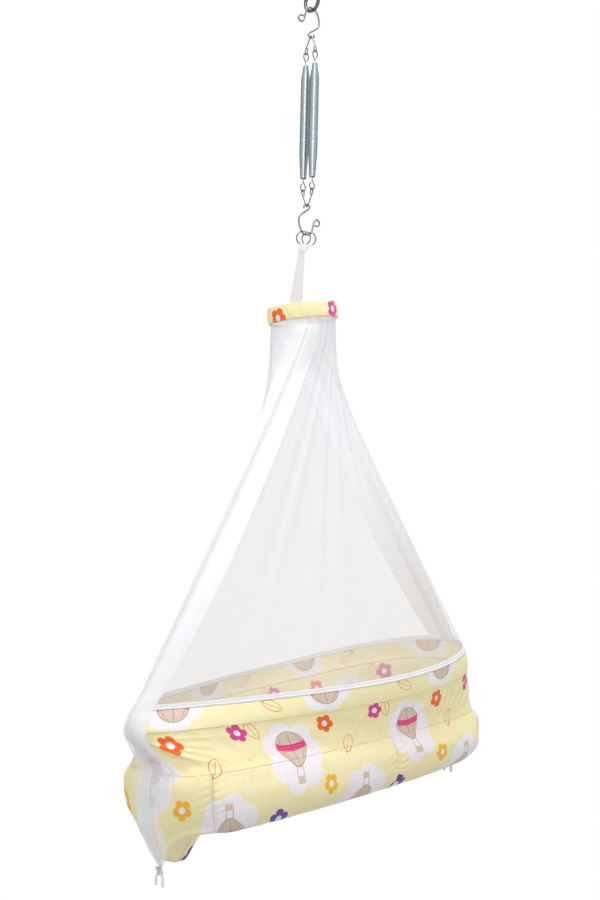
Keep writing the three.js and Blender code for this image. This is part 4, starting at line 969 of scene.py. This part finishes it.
padCotton = makeCotton("printedPad", pad, seams=True)
angle, around = aroundOutline(1100, padTop, 10.0)
seamAngles = [fullTurn + side * math.acos(share) for share in pad["seamShares"] for side in (-1, 1)]
seamPlaces = np.interp(seamAngles, angle, around)
u = around[:-1][None, :]
gaps = u[..., None] - seamPlaces
nearest = np.take_along_axis(gaps, np.abs(gaps).argmin(axis=-1)[..., None], axis=-1)[..., 0]
join = fadeAtJoin(u, around[-1], 24.0)
share = np.linspace(0.0, 1.0, 44)[:, None]
down = padTop + padHeight * share
swell = arch(share, 0.7)
channel = np.exp(-(nearest / pad["seamWidth"]) ** 2)
pull = np.exp(-np.abs(nearest) / 15.0)
puckers = pull * (1 - channel) * np.sin(fullTurn * (share * padHeight) / 10.0
                                         + 1.2 * np.sin(share * 9.0) + 0.16 * nearest)
gathers = (pad["gather"] * np.exp(-share * padHeight / 12.0) * ripple(u, share, 15, 31) * ease(share, 0, 0.04)
           + np.exp(-(1 - share) * padHeight / 16.0) * ripple(u, share, 24, 32))
folds = join * swell * (0.9 * ripple(u, share * padHeight, 85, 33, 0.7)
                        + 0.5 * ripple(u, share * padHeight, 34, 34, 1.5))
plump = pad["plump"] * swell * (1 - np.exp(-(nearest / 60.0) ** 2))
profile = padProfile(angle[:-1][None, :], share)
outerOffset = (profile - pad["seamDepth"] * channel * swell + plump
               + pad["pucker"] * puckers * swell + join * 0.9 * gathers + folds)
innerOffset = profile - padThickness(angle[:-1][None, :], share)
innerRows = slice(None, None, -2)
paddedBumper = ringOfCloth(
    "paddedBumper", padCotton, angle, around, (down, outerOffset), (down[innerRows], innerOffset[innerRows]),
    "padded_bumper", mark=np.broadcast_to(nearest, (len(down) + len(down[innerRows]), u.shape[1])))

# Floor: a cloth panel that sags under a board, and the mattress on it
floor = {"panelDepth": 222.0, "panelThickness": 1.6, "panelSag": 3.0, "boardGap": 1.0, "lengthShare": 0.91,
         "panelGap": 0.6, "panelWrinkle": 0.5,
         "mattressBottom": 216.8, "mattress": 40.0, "inset": 4.0, "quilt": 1.2, "quiltSize": 24.0,
         "inside": (60, 0, -1200), "cutShare": 0.93, "print": (20.0, 60.0), "paintedShade": 0.97, "crumple": 0.0003}


def innerEdge(angle):  # how far the pad's foot stands out, less its cloth
    return padProfile(angle, np.ones_like(angle)) - pad["cloth"]


def closedRound(rows):  # the first column again after the last
    return np.concatenate([rows, rows[:, :1]], axis=1)


def withPoles(rows):  # the middle of the first row before it, and of the last row after it
    first, last = [np.broadcast_to(row.mean(axis=1, keepdims=True), row.shape) for row in (rows[:1], rows[-1:])]
    return np.concatenate([first, rows, last])


# The panel: the pad's inner outline drawn in to a point by a share, with the lobes, the fall and a sag.
panelCotton = makeCotton("printedPanel", floor)
angle = aroundOutline(240, padTop)[0][:-1]
edgeX, edgeY = outline(angle, floor["panelDepth"], innerEdge(angle) - floor["panelGap"])
share = np.concatenate([[0.0], np.linspace(0.06, 1.0, 40)])[:, None]
x, y = mix(basketForm["padEndShift"], edgeX, share), edgeY * share
across = share * np.abs(np.sin(angle)) ** basketForm["squareShare"]
z = (-floor["panelDepth"] - lobeDrop(share * np.cos(angle), across) - fallAt(x)
     - floor["panelSag"] * (1 - share ** 2)
     + floor["panelWrinkle"] * ripple(x, y, 70, 41) * (1 - share ** 6))
panelMesh = closePoles(gridMesh("basePanel", intoWorld(x, y, z), closedRound(stacked(x, y)), joinColumns=True,
                                inside=floor["inside"]))
basePanel = addPiece("basePanel", panelMesh, panelCotton, "cradle", ["base_panel"])
thicken = basePanel.modifiers.new("clothThickness", "SOLIDIFY")
thicken.thickness, thicken.offset = floor["panelThickness"] * 0.001, -1.0

# The mattress: a rounded slab, its section as (inset, height share) pairs, crowned and quilted on top.
mattressSection = np.array([(90, 0), (20, 0), (9, 0), (4, 0.05), (1, 0.14), (0, 0.3), (0, 0.5), (0, 0.7),
                            (1, 0.86), (4, 0.95), (9, 1.0), (20, 1.05), (50, 1.14), (90, 1.2)], float)
sectionInset, sectionHeight = mattressSection[:, :1] + floor["inset"], mattressSection[:, 1:]
nearEnd, angle = np.array([math.pi]), aroundOutline(200, padTop)[0][:-1]
nearX = outline(nearEnd, floor["panelDepth"], innerEdge(nearEnd) - floor["boardGap"])[0][0]
edge = innerEdge(angle)[None, :] - floor["boardGap"] - sectionInset
x, y = outline(angle[None, :], floor["panelDepth"], edge)
x = mix(nearX, x, floor["lengthShare"])
size = floor["quiltSize"]
quilt = floor["quilt"] * np.abs(np.sin(x / size + y / size)) * np.abs(np.sin(x / size - y / size))
z = (-floor["mattressBottom"] + sectionHeight * floor["mattress"] - fallAt(x)
     + quilt * (sectionHeight > 0.9))
mattressMesh = shellMesh("mattressPad", withPoles(intoWorld(x, y, z)), withPoles(closedRound(stacked(x, y))),
                         joinRows=False)
mattressPad = addPiece("mattressPad", mattressMesh, mattressCloth, "cradle", ["mattress"])
print("basket done")

# Spreader hoop's cloth band
band = {"radius": 66.5, "height": 29.0, "cloth": 1.2, "inner": 60.9, "slotInner": 62.1, "slotOuter": 65.3,
        "tuck": 6.0, "place": (-5.0, -3.0, -647.0), "tilt": math.radians(-7.8), "seat": 0.3, "slack": 0.4,
        "twist": math.radians(59), "lapAngle": math.radians(232), "stitches": (2.6, 26.4), "cutHeight": 62.0,
        "print": (-47.0, 190.0), "paintedShade": 1.0, "crumple": 0.0002, "bulge": 0.9, "lapRise": 1.1, "gather": 0.8,
        "creases": [(170, 29, 186, 0, 1.6, 2.4), (205, 28, 216, 2, 1.2, 2.0), (232, 29, 240, 0, 1.4, 2.2),
                    (262, 26, 264, 3, 0.8, 4.0), (300, 29, 292, 1, 1.5, 2.4), (330, 27, 318, 2, 1.2, 2.2)]}


# A point of the hoop's own frame, turned about the rings' normal by the tilt and moved to its place.
def inHoop(points):
    cos, sin = math.cos(band["tilt"]), math.sin(band["tilt"])
    turned = (points * cos + np.cross(ringNormal, points) * sin
              + ringNormal * (points @ ringNormal)[..., None] * (1 - cos))
    return turned + band["place"]


def onHoop(radius, angle, z):  # radius cos a, radius sin a and z in the hoop's frame
    return inHoop(stacked(radius * np.cos(angle), radius * np.sin(angle), z))


# The band: outer side up, over the hoop, inner side down, and the walls of the slot that the net is in.
bandCotton = makeCotton("printedBand", band, stitchLines=band["stitches"])
turn = np.linspace(0, fullTurn, 241)[:-1]
rise = np.linspace(0, 1, 15)
outerR = band["radius"] + band["bulge"] * arch(rise)
section = np.concatenate([
    np.stack([outerR, rise * band["height"]], axis=-1),
    [(band["radius"] - 0.5, band["height"] + 0.5), (band["inner"] + 0.5, band["height"] + 0.5)],
    np.stack([np.full(8, band["inner"]), np.linspace(band["height"], 0, 8)], axis=-1),
    [(band["slotInner"], 0.0), (band["slotInner"], band["height"] - band["cloth"]),
     (band["slotOuter"], band["height"] - band["cloth"]), (band["slotOuter"], 0.0)]])
outside = (np.arange(len(section)) < len(rise))[:, None]
lapGap = (turn - band["lapAngle"] + math.pi) % fullTurn - math.pi
lap = band["lapRise"] * ease(lapGap, -0.012, 0.012) * (1 - ease(lapGap, 0.20, 0.34))
arc = band["radius"] * turn[None, :]
gather = outside * np.sin(math.pi * np.clip(section[:, 1:2] / band["height"], 0, 1)) ** 0.5 * (
    band["gather"] * ripple(arc, section[:, 1:2], 26, 51, 3.0)
    * ease(np.minimum(arc, arc.max() - arc), 0, 12)
    + band["gather"] * creases(arc, section[:, 1:2], band["creases"]))
radius = section[:, 0:1] + gather + outside * lap
points = onHoop(radius, turn[None, :], section[:, 1:2])
cloth = stacked(band["radius"] * np.append(turn, fullTurn)[None, :],
                np.append(section[:, 1], section[0, 1])[:, None])
hoopBand = addPiece("hoopBand", shellMesh("hoopBand", points, cloth), bandCotton, "cradle",
                    ["hoop_band"])

# The hoop itself: a flat plastic strip in the band's slot, its corners cut
inner, outer = band["slotInner"] + band["slack"], band["slotOuter"] - band["slack"]
low, high, corner = band["tuck"], band["height"] - band["cloth"] - band["seat"], 0.4
hoopSection = np.array([
    (outer, low + corner), (outer, high - corner), (outer - corner, high), (inner + corner, high),
    (inner, high - corner), (inner, low + corner), (inner + corner, low), (outer - corner, low)])
hoopMesh = shellMesh("spreaderHoop", onHoop(hoopSection[:, :1], turn[None, ::2], hoopSection[:, 1:]))
addPiece("spreaderHoop", hoopMesh, hoopPlastic, "cradle", ["spreader_hoop"])

# Net tent and the two straps with their zips
tent = {"foot": 2.8, "flare": 0.25, "nearFlare": 0.09, "edgeLap": 3.0, "columns": 150, "foldHeight": 3.4,
        "gather": 0.8, "behind": 0.9, "hemHeight": 5.0, "hemThickness": 1.4, "length": 700.0, "cutShare": 0.62}
strap = {
    "halfWidth": 49.0, "thickness": 0.8, "loopHalfWidth": 6.8, "loopClearance": 0.9, "loopHem": 12.0,
    "clearance": 1.3, "endHalfWidth": 12.0, "hangSlope": 0.35, "waistShare": 0.72, "padShare": 0.76,
    "widths": [(0, 0.37), (0.07, 0.66), (0.38, 0.88), (0.7, 1.0), (0.9, 0.86), (1.0, 0.7)],
    "rows": [0.03, 0.07, 0.15, 0.26, 0.38, 0.5, 0.62, 0.74, 0.85, 0.93, 0.975], "columns": 33, "step": 5.0,
    "fineStep": 0.8, "fineEnd": 24.0, "pleat": 3.4, "fold": 0.9, "tailFold": 0.5,
}


# Tent: a straight line from the slot in the band to the piping, its plan spread a little later at the sides.
def tentPoints(angle, share):
    angle, share = np.broadcast_arrays(angle, share)
    top = onHoop((band["slotOuter"] + band["slotInner"]) / 2, angle + band["twist"], 0.0)
    foot = basketPoints(angle, 0.0, piping["offset"]) + tent["foot"] * np.array([tiltSin, 0.0, tiltCos])
    spread = share ** (1 + tent["flare"] * np.sin(angle) ** 2
                       + tent["nearFlare"] * np.minimum(np.cos(angle), 0) ** 2)
    level = mix(top[..., :2], foot[..., :2], spread[..., None])
    return np.concatenate([level, mix(top[..., 2:], foot[..., 2:], share[..., None])], axis=-1)


# Angles of a closed curve at signed distances along it from one of its angles.
def walkAlong(curve, start, distances):
    angles = start + np.linspace(-1, 1, 1201) ** 3
    points = curve(angles)
    length = runLength(points)
    length = length - length[600]
    return np.interp(distances, length, angles)


# Half the strap's width at a share of the tent's height, straight between its knots.
def strapHalfWidthAt(share):
    places, widths = zip(*strap["widths"])
    return np.interp(share, places, widths) * strap["halfWidth"]


columnShares = np.linspace(-1, 1, strap["columns"])
ends = {
    "near": {"angle": math.pi, "forward": 1, "outward": -1, "tailTurn": 0.10, "ring": hardware["ring"]["near"],
             "lobe": basketForm["nearLobe"], "fall": basketForm["floorFall"]},
    "far": {"angle": 0.0, "forward": -1, "outward": 1, "tailTurn": -0.05, "ring": hardware["ring"]["far"],
            "lobe": basketForm["farLobe"], "fall": 0.0},
}


# A row across the strap: points of a curve at even distances to both sides of the end's angle.
def strapRow(end, curve, halfWidth):
    return curve(walkAlong(curve, end["angle"], end["forward"] * columnShares * halfWidth))


# The strap's head: a hem behind the ring, half a turn over its wire, a tail, and rows inside the band.
def strapHead(end):
    ringForm = hardware["ring"]
    ringRadius = (ringForm["diameter"] - ringForm["wire"]) / 2
    wrap = ringForm["wire"] / 2 + strap["loopClearance"] + strap["thickness"] / 2
    swing = columnShares * strap["loopHalfWidth"] / ringRadius
    outOfRing = ringAcross * np.sin(swing)[:, None] - upWay * np.cos(swing)[:, None]
    loops = [np.asarray(end["ring"]) - upWay * ringRadius + outOfRing * (ringRadius - wrap * math.sin(turned))
             - ringNormal * end["outward"] * wrap * math.cos(turned)
             for turned in np.linspace(0, math.pi, 9)]
    radius = band["inner"] * math.cos(math.pi / 36) - 0.3 - strap["thickness"] / 2
    angle = end["angle"] + band["twist"] + end["forward"] * columnShares * strapHalfWidthAt(0.0) / radius
    bandRows = [onHoop(radius, angle + end["tailTurn"] * share, share * band["height"])
                for share in (1, 0.5, 0)]
    tails = [mix(loops[-1], bandRows[0], share) for share in (0.18, 0.4, 0.65, 0.85)]
    return [loops[0] - upWay * strap["loopHem"]] + loops + tails + bandRows


# Down the tent, then over the piping, hem, wall and pad at a set clearance, and free below that.
def strapBody(end):
    rows = [strapRow(end, lambda angle: tentPoints(angle, share), strapHalfWidthAt(share))
            for share in strap["rows"]]
    over = strap["clearance"] + strap["thickness"] / 2
    hemMiddle, wallMiddle = (hem["top"] + basketForm["hemHeight"]) / 2, (basketForm["hemHeight"] + padTop) / 2
    route = [(0.0, piping["offset"] + 2.5), (hemMiddle, 4.0), (hem["bottom"], 2.2), (wallMiddle, 0.3),
             (padTop, 2.2)]
    route += [(padTop + padHeight * place, basketForm["padBulge"] * value + 0.8)
              for place, value in zip(pad["places"][1:5], pad["end"][1:5])]
    for depth, offset in route:
        width = strap["halfWidth"] * (strap["waistShare"] if depth < padTop else strap["padShare"])
        rows.append(strapRow(end, lambda angle: basketPoints(angle, depth, offset + over), width))
    hang = (padHeight + end["lobe"] + end["fall"]) * (1 - pad["places"][4])
    foot = strap["endHalfWidth"] / (strap["padShare"] * strap["halfWidth"])
    last = rows[-1]
    for share, width in ((0.35, 1.0), (0.7, 0.8), (1.0, foot)):
        sideways, drop = -end["outward"] * strap["hangSlope"] * hang * share, -hang * share
        moved = (sideways * tiltCos + drop * tiltSin, 0, drop * tiltCos - sideways * tiltSin)
        rows.append(last * (1, width, 1) + moved)
    return rows


tentAxis = (0.0, 0.0, -1100.0)
straps = {}
for key, end in ends.items():
    head, body = strapHead(end), strapBody(end)
    rows, down, knots = rowsThrough(np.array(head + body), strap["step"], strap["fineStep"], strap["fineEnd"])
    headLength, waist = knots[len(head) - 1], knots[len(head) + len(strap["rows"]) + 2]
    tangentDown = unit(np.gradient(rows, axis=0))
    tangentAcross = unit(np.gradient(rows, axis=1))
    outward = unit(np.cross(tangentAcross, tangentDown))
    middle = strap["columns"] // 2
    outward = outward * np.sign((outward[60:, middle, 0] * end["outward"]).sum())
    width = np.linalg.norm(np.diff(rows, axis=1), axis=-1).sum(axis=1)
    across = columnShares[None, :] * width[:, None] / 2
    lower = ease(down, down[-1] - 300, down[-1] - 60)[:, None]
    upper = ease(down, headLength - 40, headLength + 120)[:, None]
    tail = (1 - ease(down, headLength - 30, headLength))[:, None] * ease(down, 24, 60)[:, None]
    calm = arch(np.abs(columnShares))[None, :]
    pleat = 0.55 + 0.45 * np.cos(columnShares * 9.4 + 0.4 * np.sin(down / 60)[:, None])
    fold = 1 + ripple(across, down[:, None], 40, 61 if key == "near" else 71, 6.0)
    pleats = (lower * strap["pleat"] * calm * pleat + (1 - lower) * upper * strap["fold"] * calm * fold * 0.5
              + tail * strap["tailFold"] * np.cos(columnShares * 5.0)[None, :])
    rows = rows + outward * pleats[..., None]
    cloth = stacked(across, waist - down[:, None])
    name = key + "Strap"
    piece = addPiece(name, gridMesh(name, rows, cloth, inside=tentAxis), voileCloth, "cradle",
                     [key + "_strap"])
    straps[key] = {"piece": piece, "rows": rows, "down": down, "outward": outward, "across": across,
                   "headLength": headLength, "width": width}
print("straps done")


def outOfTent(points):  # level, away from the upright line under the hoop
    return unit((points - (band["place"][0], 0.0, 0.0)) * (1, 1, 0))


# Net panel: the tent from one strap's edge to the other, tucked into the band, with soft upright folds.
def netGrid(side, shares, rise=0.0):
    column = np.linspace(0, 1, tent["columns"] + 1)
    grid = []
    for share in shares:
        curve = lambda angle: tentPoints(angle, share)
        lapped = strapHalfWidthAt(share) - tent["edgeLap"]
        start = walkAlong(curve, math.pi, side * lapped)
        finish = walkAlong(curve, fullTurn if side > 0 else 0.0, -side * lapped)
        gathers = (tent["gather"] * (1 - ease(share, 0.0, 0.4)) * np.cos(fullTurn * 17 * column)
                   * ease(share, 0.0, 0.06))
        folds = tent["foldHeight"] * math.sin(math.pi * min(share, 1.0)) ** 0.8 * (
            np.cos(fullTurn * 8.5 * column + 0.6 * math.sin(3 * share))
            + 0.5 * np.cos(fullTurn * 13.3 * column + 1.0))
        points = curve(mix(start, finish, column))
        out = arch(column, 0.5) * (gathers + folds) - tent["behind"] + rise
        grid.append(points + outOfTent(points) * out[:, None])
    return np.array(grid)


nets = {}
for key, side in (("front", 1), ("back", -1)):
    grid = netGrid(side, np.concatenate([[0.0], np.linspace(0.012, 0.97, 78), [1.0]]))
    tuck = inHoop(np.array([0.0, 0.0, band["tuck"] - 0.4])) - inHoop(np.zeros(3))
    grid = np.concatenate([grid[:1] + tuck, grid])
    down = runLength(grid[:, grid.shape[1] // 2])
    acrossRow = np.linalg.norm(np.diff(grid, axis=1), axis=-1)
    across = np.concatenate([np.zeros((len(grid), 1)), np.cumsum(acrossRow, axis=1)], axis=1)
    across = across - across[:, -1:] / 2
    name = key + "Net"
    mesh = gridMesh(name, grid, stacked(across, -down[:, None]), inside=tentAxis)
    nets[key] = {"piece": addPiece(name, mesh, netCloth, "cradle", [key + "_net"]),
                 "foot": float(across[-1, -1] * 2), "height": float(down[-1])}

    # The net's foot is turned up into a white hem just above the piping.
    outerSide = netGrid(side, np.linspace(1.0 - tent["hemHeight"] / tent["length"], 1.0, 5), rise=0.5)
    innerSide = outerSide - outOfTent(outerSide) * tent["hemThickness"]
    grid = np.concatenate([outerSide, innerSide[::-1]])
    down = np.append(runLength(grid[:, grid.shape[1] // 2]), 0.0)
    mesh = gridMesh(name + "Hem", grid, stacked(across[-1][None, :], -down[:, None]), joinRows=True)
    nets[key]["hem"] = addPiece(name + "Hem", mesh, voileCloth, "cradle")
print("nets done")

# Zips: a flat tape sewn down the strap's middle, and interlocked coil teeth in half-pitch step
zipForm = {"tapeHalfWidth": 9.5, "tapeRise": 0.35, "pitch": 2.4, "coilHalfWidth": 2.7, "coilHeight": 1.25,
           "coilRise": 0.1, "start": 12.0, "end": 2.0}
for key, end in ends.items():
    data = straps[key]
    start = int(np.searchsorted(data["down"], data["headLength"] + zipForm["start"]))
    middle = strap["columns"] // 2
    line, down = data["rows"][start:, middle], data["down"][start:]
    acrossWay = unit(data["rows"][start:, middle + 2] - data["rows"][start:, middle - 2])
    outWay = data["outward"][start:, middle]
    tapeShares = np.linspace(-1, 1, 9)
    tapeHalf = np.minimum(zipForm["tapeHalfWidth"], 0.42 * data["width"][start:])[:, None]
    places = tapeShares[None, :] * tapeHalf
    upTape = np.stack([
        np.stack([np.interp(places[index], data["across"][start + index], data["rows"][start + index][:, axis])
                  for axis in range(3)], axis=-1) for index in range(len(line))])
    tapePoints = upTape + outWay[:, None] * zipForm["tapeRise"]
    mesh = gridMesh(key + "ZipTape", tapePoints, stacked(places, -down[:, None]), inside=tentAxis)
    data["tape"] = addPiece(key + "ZipTape", mesh, tapeCloth, "cradle")
    fine = np.arange(down[0], down[-1] - zipForm["end"], zipForm["pitch"] / 5)
    smooth = lambda values: np.stack([np.interp(fine, down, values[:, axis]) for axis in range(3)], axis=-1)
    centre, wayAcross, wayOut = smooth(line), unit(smooth(acrossWay)), unit(smooth(outWay))
    profile = np.array([-1.0, -0.85, -0.45, -0.12, 0.12, 0.45, 0.85, 1.0])
    height = np.array([0.0, 0.55, 1.0, 0.75, 0.75, 1.0, 0.55, 0.0])
    phase = np.where(profile < 0, 0.0, math.pi)
    tooth = 0.62 + 0.38 * np.cos(fullTurn * fine[:, None] / zipForm["pitch"] + phase[None, :])
    lift = zipForm["tapeRise"] + zipForm["coilRise"] + zipForm["coilHeight"] * height * tooth
    across = (profile * zipForm["coilHalfWidth"])[None, :]
    top = centre[:, None] + wayAcross[:, None] * across[..., None] + wayOut[:, None] * lift[..., None]
    mesh = gridMesh(key + "ZipTeeth", top, stacked(across, fine[:, None]), inside=tentAxis)
    data["teeth"] = addPiece(key + "ZipTeeth", mesh, zipPlastic, "cradle", [key + "_zip"])
print("zips done")

# Slider pulls: a flat loop through the slider's slot, and a moulded grip on it that stands to its own side
grip = {"loop": 9.0, "tape": 0.7, "top": 5.0, "over": 3.5, "topWidth": 5.0, "endWidth": 8.0, "thickness": 2.4,
        "splay": 5.0, "round": 0.75, "rows": 24, "sides": 22}


# The loop: a stadium of tape round the pull's bar, with a flat oblong section.
def pullLoop(name, low, high):
    centre, top = (low + high) / 2, high[2]
    outer, halfWidth = (high[0] - low[0]) / 2, (high[1] - low[1]) / 2
    angle = np.linspace(0, fullTurn, 33)[:-1]
    straight = np.where(np.cos(angle) < -1e-9, grip["loop"] - 2 * outer, 0.0)
    section = np.array([(outer, halfWidth), (outer, -halfWidth), (outer - grip["tape"], -halfWidth),
                        (outer - grip["tape"], halfWidth)])
    return shellMesh(name, stacked(
        centre[0] + section[:, :1] * np.sin(angle), centre[1] + section[:, 1:],
        top - outer + section[:, :1] * np.cos(angle) - straight))


# Grip section at each height: a super-ellipse whose half width grows downwards and closes in a round end,
# its centre moved aside by the splay over the first third.
def gripMesh(name, low, high, splay):
    centre = (low + high) / 2
    share = np.linspace(0.0, 1.0, grip["rows"])
    closing = np.sqrt(np.clip(1 - (2 * share - 1) ** 8, 0, 1))
    halfWidth = mix(grip["topWidth"], grip["endWidth"], share ** 0.8) / 2 * closing
    halfThick = grip["thickness"] / 2 * closing
    angle = fullTurn * np.arange(grip["sides"]) / grip["sides"]
    across, through = [np.sign(wave) * np.abs(wave) ** grip["round"] for wave in (np.cos(angle), np.sin(angle))]
    drop = mix(high[2] - grip["top"], low[2] - grip["over"], share)
    return shellMesh(name, stacked(
        centre[0] + halfThick[:, None] * through[None, :],
        centre[1] + splay * ease(share, -0.1, 0.4)[:, None] + halfWidth[:, None] * across[None, :],
        drop[:, None]), joinRows=False)


for key in ("near", "far"):
    for side in ("front", "back"):
        body = f"{key}_{side}_pull"
        low, high = [np.array(corner) * 1000.0 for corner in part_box(body)]
        name = key + side.capitalize()
        splay = grip["splay"] * (1 if side == "back" else -1)
        loop = pullLoop(name + "PullLoop", low, high)
        addPiece(name + "PullLoop", loop, pullEnamel, body, [body])
        addPiece(name + "Grip", gripMesh(name + "Grip", low, high, splay), pullEnamel, body)

# Solids that keep their own mesh take these finishes
keptFinishes = {"base_board": boardFibre, "near_zip_slider": sliderMetal, "far_zip_slider": sliderMetal}
for name, material in keptFinishes.items():
    for place in nodes[name].material_slots:
        place.material = material
print("slider grips and kept solids done")

# Each net's width at its foot and its height, printed. The nets' and the panel's cut shares are how much of
# their rectangle they fill.
for key, net in nets.items():
    print(key, "net foot", round(net["foot"]), "mm, height", round(net["height"]), "mm")

# Camera at the photograph's place, for a frame of 600 by 900
photoView = {"place": (-1.8528, -1.9386, -0.9980), "heading": math.radians(43.66), "pitch": 0.0389,
             "roll": 0.0242, "lens": 56.0, "sensor": 36.0}


# Axes of the view: right and back in plan, tilted up by the pitch, then rolled in the picture's plane.
def placeCamera():
    cos, sin = math.cos(photoView["heading"]), math.sin(photoView["heading"])
    right, back = Vector((cos, -sin, 0.0)), Vector((-sin, -cos, 0.0))
    up = Vector((0.0, 0.0, 1.0))
    view = -back * math.cos(photoView["pitch"]) + up * math.sin(photoView["pitch"])
    over = up * math.cos(photoView["pitch"]) + back * math.sin(photoView["pitch"])
    roll = photoView["roll"]
    xAxis = right * math.cos(roll) + over * math.sin(roll)
    yAxis = over * math.cos(roll) - right * math.sin(roll)
    camera = addObject("photoCamera", bpy.data.cameras.new("photoCamera"))
    camera.data.sensor_fit = "VERTICAL"
    camera.data.sensor_height = photoView["sensor"]
    camera.data.lens = photoView["lens"]
    camera.data.clip_end = 60.0
    turned = Matrix((xAxis, yAxis, -view)).transposed().to_4x4()
    camera.matrix_world = Matrix.Translation(photoView["place"]) @ turned
    bpy.context.scene.camera = camera


placeCamera()

# Studio: a pale round floor well below, soft lamps, and white behind for what the camera and gloss see
studio = {"floorHeight": -2.35, "floorRadius": 1.7, "ambient": 0.64, "floorColour": (196, 196, 196),
          "fadeEdge": 1.25, "fadeSoft": 0.4}
lamps = {
    "keyLamp": {"place": (-2.9, -2.8, 1.6), "target": (0, 0, -1.2), "size": 1.6, "power": 47},
    "fillLamp": {"place": (2.6, -2.6, 0.2), "target": (0, 0, -1.2), "size": 2.6, "power": 4},
    "topLamp": {"place": (-0.3, -0.5, 1.7), "target": (0, 0, -1.3), "size": 1.4, "power": 41},
}


def addFloor():  # a disc whose alpha fades with the distance from its middle
    work = bmesh.new()
    bmesh.ops.create_circle(work, cap_ends=True, segments=96, radius=studio["floorRadius"],
                            matrix=Matrix.Translation((0, 0, studio["floorHeight"])))
    mesh = bpy.data.meshes.new("studioFloor")
    work.to_mesh(mesh)
    work.free()
    floorPiece = addObject("studioFloor", mesh)
    material, tree, shader = newMaterial("studioFloor", 0.9)
    shader.inputs["Base Color"].default_value = paint(*studio["floorColour"])
    away = vectors(tree, "LENGTH", vectors(tree, "MULTIPLY", objectPlace(tree), (1.0, 1.0, 0.0)))
    tree.links.new(within(tree, away, studio["fadeEdge"], studio["fadeSoft"]), shader.inputs["Alpha"])
    mesh.materials.append(material)


# A round lamp at its place, turned to its target.
def addLamp(name, place, target, size, power):
    lamp = addObject(name, bpy.data.lights.new(name, "AREA"))
    lamp.data.shape, lamp.data.size, lamp.data.energy = "DISK", size, power
    way = Vector(target) - Vector(place)
    lamp.matrix_world = Matrix.Translation(place) @ way.to_track_quat("-Z", "Y").to_matrix().to_4x4()


# White for what the camera sees, gloss and clear things; the ambient share lights the rest.
def lightWorld():
    world = bpy.data.worlds.new("studioWorld")
    bpy.context.scene.world = world
    world.use_nodes = True
    tree = world.node_tree
    background = tree.nodes["Background"]
    background.inputs["Color"].default_value = (1.0, 1.0, 1.0, 1.0)
    rays = addNode(tree, "ShaderNodeLightPath").outputs
    seen = maths(tree, "MAXIMUM", rays["Is Camera Ray"], maths(
        tree, "MAXIMUM", rays["Is Glossy Ray"], rays["Is Transmission Ray"]))
    strength = maths(tree, "MULTIPLY_ADD", seen, 1.0 - studio["ambient"], studio["ambient"])
    tree.links.new(strength, background.inputs["Strength"])


addFloor()
for name, lamp in lamps.items():
    addLamp(name, **lamp)
lightWorld()
bpy.context.scene.view_settings.view_transform = "Standard"
print("camera and lamps set")
